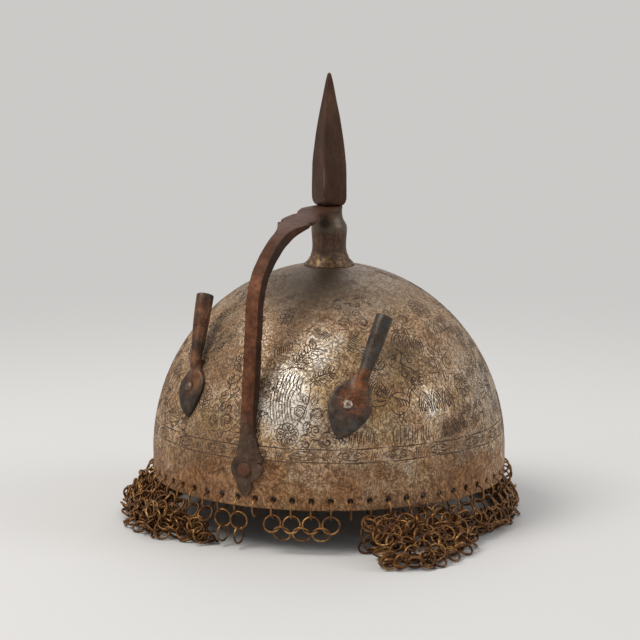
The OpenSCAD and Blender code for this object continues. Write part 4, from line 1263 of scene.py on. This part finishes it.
def leaf_block(shape, origin, axes):
    """The leaf from the middle of its outer face, over its rounded edge, to the middle of its back.

    Rows are the outline drawn in towards the middle line. A swelling rises along the tube's line
    and runs out into the tube's foot.
    """
    edge = leaf_outline(shape, 40)
    share, height = LEAF_ROWS[:, :1], LEAF_ROWS[:, 1:]
    y = edge[:, 1]
    middle = np.stack([leaf_middle(shape, y), np.clip(y, shape[0] * 0.45, shape[1] - 1.5)], -1)
    flat = middle + share[..., None] * (edge - middle)
    rise = np.clip((flat[..., 1] - 1.5) / 12.5, 0, 1)
    ridge = RIDGE_H * rise**2 * (3 - 2 * rise) * np.exp(-((flat[..., 0] - TUBE_ASIDE) / RIDGE_W) ** 2)
    dent = 0.10 * np.sin(0.7 * flat[..., 0] + 1) * np.sin(0.55 * flat[..., 1])
    on_top = height > 1.2
    return on_bowl(flat, height + on_top * (ridge + dent * (share < 0.9)), origin, axes)


def hammered_tube(turn, height):
    """Hammer work on the tube above its foot: slow waves round and along it, up to 0.12 mm."""
    waves = 0.07 * np.sin(2 * turn + height * 0.12) + 0.05 * np.sin(3 * turn - height * 0.21 + 1)
    return waves * (height > -4)


def tube_block(origin, axes):
    """The tube as a profile round its own axis: closed foot, taper, rounded lip and bore."""
    quarter = np.linspace(0, np.pi / 2, 9)[:-1]
    foot = TUBE_FOOT_R * np.stack([np.sin(quarter), -2 * np.cos(quarter)], -1)
    share = np.linspace(0, 1, 26)
    taper_r = TUBE_FOOT_R + (TUBE_MOUTH_R - TUBE_FOOT_R) * np.sin(share * np.pi / 2) ** 0.9
    taper = np.stack([taper_r, (TUBE_L - 0.5) * share], -1)
    lip = [
        (TUBE_MOUTH_R - 0.12, TUBE_L - 0.12), (TUBE_MOUTH_R - 0.45, TUBE_L),
        (TUBE_BORE_R + 0.3, TUBE_L), (TUBE_BORE_R, TUBE_L - 0.3),
    ]
    bore = [(TUBE_BORE_R, TUBE_L - TUBE_BORE_L * down) for down in (0.3, 0.65, 0.97)]
    bore += [(TUBE_BORE_R - 0.6, TUBE_L - TUBE_BORE_L), (0, TUBE_L - TUBE_BORE_L)]
    block = turned(np.concatenate([foot, taper, lip, bore]), 40, hammered_tube)
    block[0, :, :2] = 0
    block[-1, :, :2] = 0
    # the tube's axis leans out of the frame's up axis
    up, out = math.cos(TUBE_TILT), math.sin(TUBE_TILT)
    along = np.array([[1, 0, 0], [0, out, -up], [0, up, out]])
    local = block @ along + np.array([TUBE_ASIDE, TUBE_FROM, TUBE_RISE])
    return placed(local, origin, axes)


for side, (origin, axes) in socket_frames.items():
    leaf_iron = Finish("rusted_leaf_iron_" + side)
    leaf_mottle = leaf_iron.noise(7, 5, 0.62)
    leaf_grain = leaf_iron.noise(1.1, 4, 0.65)
    leaf_tone = leaf_mottle * 0.7 + leaf_grain * 0.3
    blue_grey = leaf_iron.colours(leaf_tone, [
        (0.38, (0.030, 0.021, 0.015)), (0.50, (0.060, 0.042, 0.030)), (0.62, (0.110, 0.080, 0.058)),
    ])
    if side == "left":
        blue_grey = leaf_iron.mix(0.35, blue_grey, (0.020, 0.014, 0.008))
    else:
        bluish = leaf_iron.noise(5, 3, 0.5, at=(6, 1, 2)).ramp(0.50, 0.60)
        blue_grey = leaf_iron.mix(bluish * 0.5, blue_grey, (0.050, 0.062, 0.066))
    rust_red = leaf_iron.colours(leaf_tone, [
        (0.38, (0.085, 0.029, 0.011)), (0.50, (0.205, 0.070, 0.026)), (0.62, (0.330, 0.130, 0.048)),
    ])
    centre = placed(np.array([2.2, 3.5, 2.3]), origin, axes)
    throat = placed(np.array([3, 15, 4.5]), origin, axes)
    rusted = leaf_iron.near(centre, 12.5, 0.75).most(leaf_iron.near(throat, 10, 0.8))
    if side == "left":
        rusted = rusted * 0.5 + leaf_iron.near(placed(np.array([3, 38, 8]), origin, axes), 19, 0.7) * 0.5
    rusted = rusted * leaf_iron.noise(4, 4, 0.6, at=(1, 3, 0)).ramp(0.30, 0.52)
    leaf_finish = leaf_iron.metal(
        leaf_iron.mix(rusted, blue_grey, rust_red),
        0.44 + rusted * 0.16 - leaf_mottle * 0.08,
        0.38 - rusted * 0.25,
        leaf_iron.bump(leaf_mottle * 0.6 + leaf_grain * 0.4, 0.4, 0.7),
        Specular_IOR_Level=0.2,
    )
    socket = joined(skin(leaf_block(LEAVES[side], origin, axes)), skin(tube_block(origin, axes)))
    node = "plume_socket_" + side
    piece("forged_" + node, *socket, leaf_finish, "helmet", "plume_socket", [node])


# Rim rings. One ring of round iron wire hangs in each hole from the right end of the face opening
# round the back to its left end, upright and square to the rim. The mail's first row hooks into them.

PITCH = 2 * math.pi / HOLES
RING_R = 4.9
WIRE_R = 0.55
MID_R = BOWL_R - WALL / 2
RIM_RING_Z = HOLE_Z - HOLE_R + WIRE_R + 0.4 - RING_R
FIRST_BARE = -2
LAST_BARE = 5
FIRST_MAIL = LAST_BARE + 1
LAST_MAIL = HOLES + FIRST_BARE - 1
chance = np.random.default_rng(11)


def facing(azimuth):
    """Unit vector level outwards at an azimuth, in radians."""
    azimuth = np.asarray(azimuth, float)
    return np.stack([np.sin(azimuth), -np.cos(azimuth), 0 * azimuth], -1)


def sideways(azimuth):
    """Unit vector level along the rim at an azimuth."""
    azimuth = np.asarray(azimuth, float)
    return np.stack([np.cos(azimuth), np.sin(azimuth), 0 * azimuth], -1)


def wire_rings(centres, normals, segments, sides, bent=0.0):
    """Wire rings as one list of points and quads: a circle of wire carried round a circle.

    Each ring lies square to its normal. bent is the share by which a ring is oval, at a chance turn.
    A wire of few sides is a little wider, so that its section keeps the area of the round one.
    """
    wire = WIRE_R * math.sqrt(2 * math.pi / (sides * math.sin(2 * math.pi / sides)))
    centres = np.atleast_2d(centres)
    normals = np.atleast_2d(normals) / np.linalg.norm(np.atleast_2d(normals), axis=1, keepdims=True)
    other = np.where(np.abs(normals[:, 2:]) < 0.9, [[0, 0, 1.0]], [[1.0, 0, 0]])
    u = np.cross(normals, other)
    u = (u / np.linalg.norm(u, axis=1, keepdims=True))[:, None, None]
    face = normals[:, None, None]
    v = np.cross(face, u)
    turn = (np.arange(segments) * 2 * np.pi / segments)[None, :, None, None]
    around = (np.arange(sides) * 2 * np.pi / sides + np.pi / 4)[None, None, :, None]
    oval = bent * chance.uniform(-1, 1, (len(centres), 1, 1, 1))
    turned_by = chance.uniform(0, 2 * np.pi, (len(centres), 1, 1, 1))
    reach = RING_R * (1 + oval * np.cos(2 * turn - turned_by)) + wire * np.cos(around)
    outwards = np.cos(turn) * u + np.sin(turn) * v
    points = centres[:, None, None] + reach * outwards + wire * np.sin(around) * face
    column = np.arange(segments)[:, None] * sides
    after = (column + sides) % (segments * sides)
    side = np.arange(sides)[None, :]
    above = (side + 1) % sides
    quads = np.stack([column + side, after + side, after + above, column + above], -1).reshape(-1, 4)
    return points.reshape(-1, 3), repeated(quads, len(centres), segments * sides)


def hole_turn(number):
    """Azimuth of a rim hole, in radians."""
    return (np.asarray(number) + 0.5) * PITCH


def rim_ring(number):
    """Centre and normal of the ring in a rim hole."""
    turn = hole_turn(number)
    return facing(turn) * MID_R + [0, 0, RIM_RING_Z], sideways(turn)


def wire_finish(name, golden):
    """Rusty iron wire, golden brown where it is rubbed; golden lifts the share of the rubbed metal."""
    wire = Finish(name)
    blotch = wire.noise(9, 4, 0.6)
    spots = wire.noise(1.6, 4, 0.65)
    tone = blotch * 0.55 + spots * 0.45 + golden
    colour = wire.colours(tone, [
        (0.38, (0.040, 0.014, 0.005)),
        (0.47, (0.112, 0.045, 0.014)),
        (0.56, (0.275, 0.130, 0.042)),
        (0.68, (0.500, 0.310, 0.130)),
    ])
    return wire.metal(
        colour,
        0.52 - tone * 0.22,
        tone.ramp(0.40, 0.60, 0.35, 0.85),
        wire.bump(spots, 0.15, 0.6),
        Specular_IOR_Level=0.3,
    )


mail_finish = wire_finish("rusty_mail_wire", 0.0)
fringe_finish = wire_finish("rubbed_fringe_wire", 0.03)
mail_holes = np.arange(FIRST_MAIL, LAST_MAIL + 1)
piece(
    "rim_wire_rings", *wire_rings(*rim_ring(mail_holes), 20, 6), fringe_finish,
    "helmet", "mail", ["rim_rings"],
)


# Mail. Round iron rings, each linked through two rings of the row above and two of the row below.
# It hangs from the rim rings, reaches the surface and piles up there, most of all at the two ends
# of the face opening, where it carries the rim.

HANG_TILT = math.radians(35)
ROW_1_REACH = MID_R - 0.24 + RING_R * math.sin(HANG_TILT)
ROW_1_Z = RIM_RING_Z - RING_R + 1.67 - RING_R * math.cos(HANG_TILT)
LEAN = math.radians(34)
LINK_REACH = 8.2
LINK_LEAST = 3.2
APART = 4.2
ROW_STEP = 3.9
EVEN_ROWS = 11
MOST_ROWS = 36
HANGING_ROWS = 5
# heaps: azimuth of the middle, half width towards the face and away from it, rows more than elsewhere,
# and how much further out the heap reaches than the mail elsewhere
HEAPS = ((42, 15, 36, 18, 38), (-46, 30, 40, 12, 14))
HEAP_WIRE = 0.72
SETTLE_STEPS = 36
SINK_STEP = 0.12


def heap_share(azimuth, heap):
    """Share of a heap at an azimuth in degrees: a power of a cosine to either side of its middle."""
    middle, near_face, away = heap[:3]
    off = (azimuth - middle + 180) % 360 - 180
    width = np.where(off * np.sign(middle) < 0, near_face, away)
    return np.where(np.abs(off) < width, np.cos(off / width * np.pi / 2), 0) ** 1.3


def heaped(azimuth, column):
    """Sum over the heaps of one of their values times their share at an azimuth in degrees."""
    return sum(heap[column] * heap_share(azimuth, heap) for heap in HEAPS)


def mail_layout():
    """Row, azimuth and links of every ring: odd rows under the holes, even rows between them."""
    rows, turns, number = [], [], {}
    for row in range(1, MOST_ROWS + 1):
        odd = row % 2
        for hole in range(FIRST_MAIL, LAST_MAIL + odd):
            turn = float(hole_turn(hole)) + (1 - odd) * PITCH / 2
            degrees = math.degrees(turn)
            if row <= EVEN_ROWS + heaped(np.array(degrees), 3):
                number[row, hole] = len(rows)
                rows.append(row)
                turns.append(turn)
    links = []
    for (row, hole), ring in number.items():
        beside = (hole, hole + 1) if row % 2 == 0 else (hole - 1, hole)
        for other in beside:
            if (row - 1, other) in number:
                links.append((ring, number[row - 1, other]))
    return np.array(rows), np.array(turns), np.array(links)


mail_row, mail_turn, mail_links = mail_layout()


def first_places():
    """Places before the mail settles: down behind, up in front of that, then out and down to the
    surface along a quarter of an oval, and back under it. Rows are evenly spaced along this path.
    """
    degrees = np.degrees(mail_turn)
    more = heaped(degrees, 3)
    out = BOWL_R + 4.5 + heaped(degrees, 4) + 2.2 * np.sin(mail_turn * 9) + 1.4 * np.sin(mail_turn * 23 + 1)
    top = np.minimum(17 + more * 1.2, 24.5) + 1.5 * np.sin(mail_turn * 13 + 2)
    none = 0 * degrees
    behind = [(none + ROW_1_REACH, none + ROW_1_Z), (none + BOWL_R - 2, none + 5)]
    in_front = [(none + BOWL_R + 3.5, top - 2)]
    over = [
        (BOWL_R + 4 + (out - BOWL_R - 4) * np.sin(turn) ** 1.2, 4.2 + (top - 4.2) * np.cos(turn))
        for turn in np.linspace(0, np.pi / 2, 9)
    ]
    under = [(out - 6, none + 2.4), (none + BOWL_R + 2, none + 2.4)]
    path = np.array(behind + in_front + over + under)
    steps = np.linalg.norm(np.diff(path, axis=0), axis=1)
    along = np.concatenate([0 * steps[:1], np.cumsum(steps, 0)])
    reached = np.minimum((mail_row - 1) * ROW_STEP, along[-1])
    stretch = np.minimum((along[1:] < reached).sum(0), len(steps) - 1)
    ring = np.arange(len(mail_row))
    share = (reached - along[stretch, ring]) / steps[stretch, ring]
    reach, z = path[stretch, :, ring].T + share * (path[stretch + 1, :, ring] - path[stretch, :, ring]).T
    return facing(mail_turn) * reach[:, None] + np.stack([0 * z, 0 * z, z], -1)


def settled(places):
    """Mail that has come to rest: each step lowers the rings, then pulls linked rings within reach
    of each other and pushes all rings apart, above the surface and outside the bowl."""
    places = places + chance.normal(0, 1.1, places.shape) * (mail_row > 1)[:, None]
    held = mail_row == 1
    places[held] = facing(mail_turn[held]) * ROW_1_REACH + [0, 0, ROW_1_Z]
    lowest = 2.2 + chance.uniform(0, 2.8, len(places))
    free = (~held).astype(float)
    linked = set(map(tuple, np.sort(mail_links, 1)))
    for step in range(SETTLE_STEPS):
        places[:, 2] -= SINK_STEP * free
        if step % 12 == 0:
            gaps = np.linalg.norm(places[:, None] - places[None], axis=-1)
            near = np.argwhere(np.triu(gaps < APART + 2.5, 1))
            is_link = np.array([tuple(pair) in linked for pair in near])
            least = np.where(is_link, LINK_LEAST, APART)
        for pairs, low, high in ((mail_links, None, LINK_REACH), (near, least, None)):
            first, second = pairs.T
            between = places[second] - places[first]
            gap = np.maximum(np.linalg.norm(between, axis=1), 1e-6)
            wrong = np.maximum(gap - high, 0) if low is None else np.minimum(gap - low, 0)
            weight = free[first] + free[second] + 1e-9
            shift = between * (wrong / gap / weight)[:, None] * 0.5
            count = np.bincount(first, wrong != 0, len(places))
            count = count + np.bincount(second, wrong != 0, len(places))
            move = np.zeros_like(places)
            np.add.at(move, first, shift * free[first, None])
            np.add.at(move, second, -shift * free[second, None])
            places += move * (1.6 / np.maximum(count, 2.0))[:, None]
        places[:, 2] = np.maximum(places[:, 2], lowest)
        reach = np.hypot(places[:, 0], places[:, 1])
        least_reach = np.where(places[:, 2] > RIM_Z - 5, BOWL_R + 3.2, BOWL_R - 9)
        places[:, :2] *= (np.maximum(reach, least_reach) / reach)[:, None]
    return places


def mean_of(places, measure, way):
    """For each ring the mean place of its linked rings whose measure is more than its own, way 1, or
    less, way -1, and whether it has any."""
    ends = np.concatenate([mail_links, mail_links[:, ::-1]])
    ends = ends[way * (measure[ends[:, 1]] - measure[ends[:, 0]]) > 0]
    count = np.bincount(ends[:, 0], minlength=len(places))
    total = np.zeros_like(places)
    np.add.at(total, ends[:, 0], places[ends[:, 1]])
    return total / np.maximum(count, 1)[:, None], count > 0


def unit(vectors):
    """Vectors made one long."""
    return vectors / np.maximum(np.linalg.norm(vectors, axis=-1, keepdims=True), 1e-9)


def ring_normals(places):
    """Way that each ring faces: the sheet's normal, leaning up and down row by row, with some chance.

    The sheet's two directions come from the linked rings above and below and to either side.
    """
    above, has_above = mean_of(places, mail_row, -1)
    below, has_below = mean_of(places, mail_row, 1)
    right, has_right = mean_of(places, mail_turn, 1)
    left, has_left = mean_of(places, mail_turn, -1)
    above = np.where(has_above[:, None], above, places + [0, 0, 4])
    below = np.where(has_below[:, None], below, 2 * places - above)
    right = np.where(has_right[:, None], right, places)
    left = np.where(has_left[:, None], left, places)
    along = unit(right - left + 0.8 * sideways(mail_turn))
    down = below - above
    down = unit(down - along * (down * along).sum(1)[:, None])
    normal = np.cross(down, along)
    lean = np.where(mail_row % 2 == 1, LEAN, -LEAN)[:, None]
    normal = normal * np.cos(lean) - down * np.sin(lean)
    loose = np.clip((mail_row - 3) / 4, 0.12, 1)[:, None]
    normal = unit(normal + loose * (chance.normal(0, 0.42, places.shape) + 0.55 * facing(mail_turn)))
    first = (mail_row == 1)[:, None]
    normal = np.where(first, facing(mail_turn) * math.cos(HANG_TILT) + [0, 0, math.sin(HANG_TILT)], normal)
    # no ring reaches below the surface: one that would is laid flatter
    level = np.linalg.norm(normal[:, :2], axis=1)
    most = np.clip((places[:, 2] - HEAP_WIRE) / (RING_R * 1.05), 0.05, 1)
    flatter = np.minimum(most / np.maximum(level, 1e-6), 1)[:, None]
    laid = normal[:, :2] * flatter
    rest = np.sqrt(np.maximum(1 - (laid**2).sum(1), 0)) * np.where(normal[:, 2] < 0, -1, 1)
    return np.concatenate([laid, rest[:, None]], 1)


mail_places = settled(first_places())
mail_normals = ring_normals(mail_places)
hanging = mail_row <= HANGING_ROWS
row_nodes = [f"mail_row_{row}" for row in range(1, HANGING_ROWS + 1)]
hanging_rings = wire_rings(mail_places[hanging], mail_normals[hanging], 14, 4, 0.03)
piece("mail_hanging_rows", *hanging_rings, mail_finish, "helmet", "mail", row_nodes)
heaped_rings = wire_rings(mail_places[~hanging], mail_normals[~hanging], 14, 4, 0.04)
piece("mail_heaps", *heaped_rings, mail_finish, "helmet", "mail", ["mail_hem"])


# Fringe. What is left of the mail across the face: three single rings, two of them with a drop of
# two more rings, a small curtain of eleven linked rings and one ring more. Each swings in its hole.

DROP_1_Z = RIM_RING_Z - 2 * RING_R + 2 * WIRE_R + 0.2
DROP_2_Z = DROP_1_Z - 2 * RING_R + 2 * WIRE_R + 0.2
DROP_TURN = math.radians(15)
CURTAIN = np.arange(FIRST_BARE + 3, LAST_BARE)
CURTAIN_TILT = math.radians(26)
CURTAIN_BACK = math.radians(29)
CURTAIN_REACH = MID_R + 0.57 + RING_R * math.sin(CURTAIN_TILT)
CURTAIN_Z = RIM_RING_Z - RING_R + 1.53 - RING_R * math.cos(CURTAIN_TILT)
CURTAIN_STEP = 5.3


def drop(number):
    """Centres and normals of the two rings that hang in a single ring."""
    turn = float(hole_turn(number))
    centres = np.array([facing(turn) * MID_R + [0, 0, z] for z in (DROP_1_Z, DROP_2_Z)])
    return centres, np.array([facing(turn + DROP_TURN), sideways(turn)])


def curtain_hem():
    """Centres and normals of the curtain's hanging rings and of the row that joins them."""
    upper, lower = hole_turn(CURTAIN), hole_turn(CURTAIN[:-1]) + PITCH / 2
    centres = np.concatenate([
        facing(upper) * CURTAIN_REACH + [0, 0, CURTAIN_Z],
        facing(lower) * (CURTAIN_REACH - 0.13) + [0, 0, CURTAIN_Z - CURTAIN_STEP],
    ])
    normals = np.concatenate([
        facing(upper) * math.cos(CURTAIN_TILT) + [0, 0, math.sin(CURTAIN_TILT)],
        facing(lower) * math.cos(CURTAIN_BACK) - [0, 0, math.sin(CURTAIN_BACK)],
    ])
    return centres, normals


for name, rings, body, node in (
    ("single_ring_left", rim_ring(FIRST_BARE), "ring_left", "fringe_ring_left"),
    ("ring_drop_left", drop(FIRST_BARE), "drop_left", "fringe_drop_left"),
    ("single_ring_middle", rim_ring(FIRST_BARE + 1), "ring_middle", "fringe_ring_middle"),
    ("ring_drop_middle", drop(FIRST_BARE + 1), "drop_middle", "fringe_drop_middle"),
    ("single_ring_centre", rim_ring(FIRST_BARE + 2), "ring_centre", "fringe_ring_centre"),
    ("curtain_top_rings", rim_ring(CURTAIN), "curtain", "curtain_rings"),
    ("curtain_linked_rings", curtain_hem(), "curtain", "curtain_hem"),
    ("single_ring_right", rim_ring(LAST_BARE), "ring_right", "fringe_ring_right"),
):
    piece(name, *wire_rings(*rings, 30, 8), fringe_finish, body, "mail", [node])
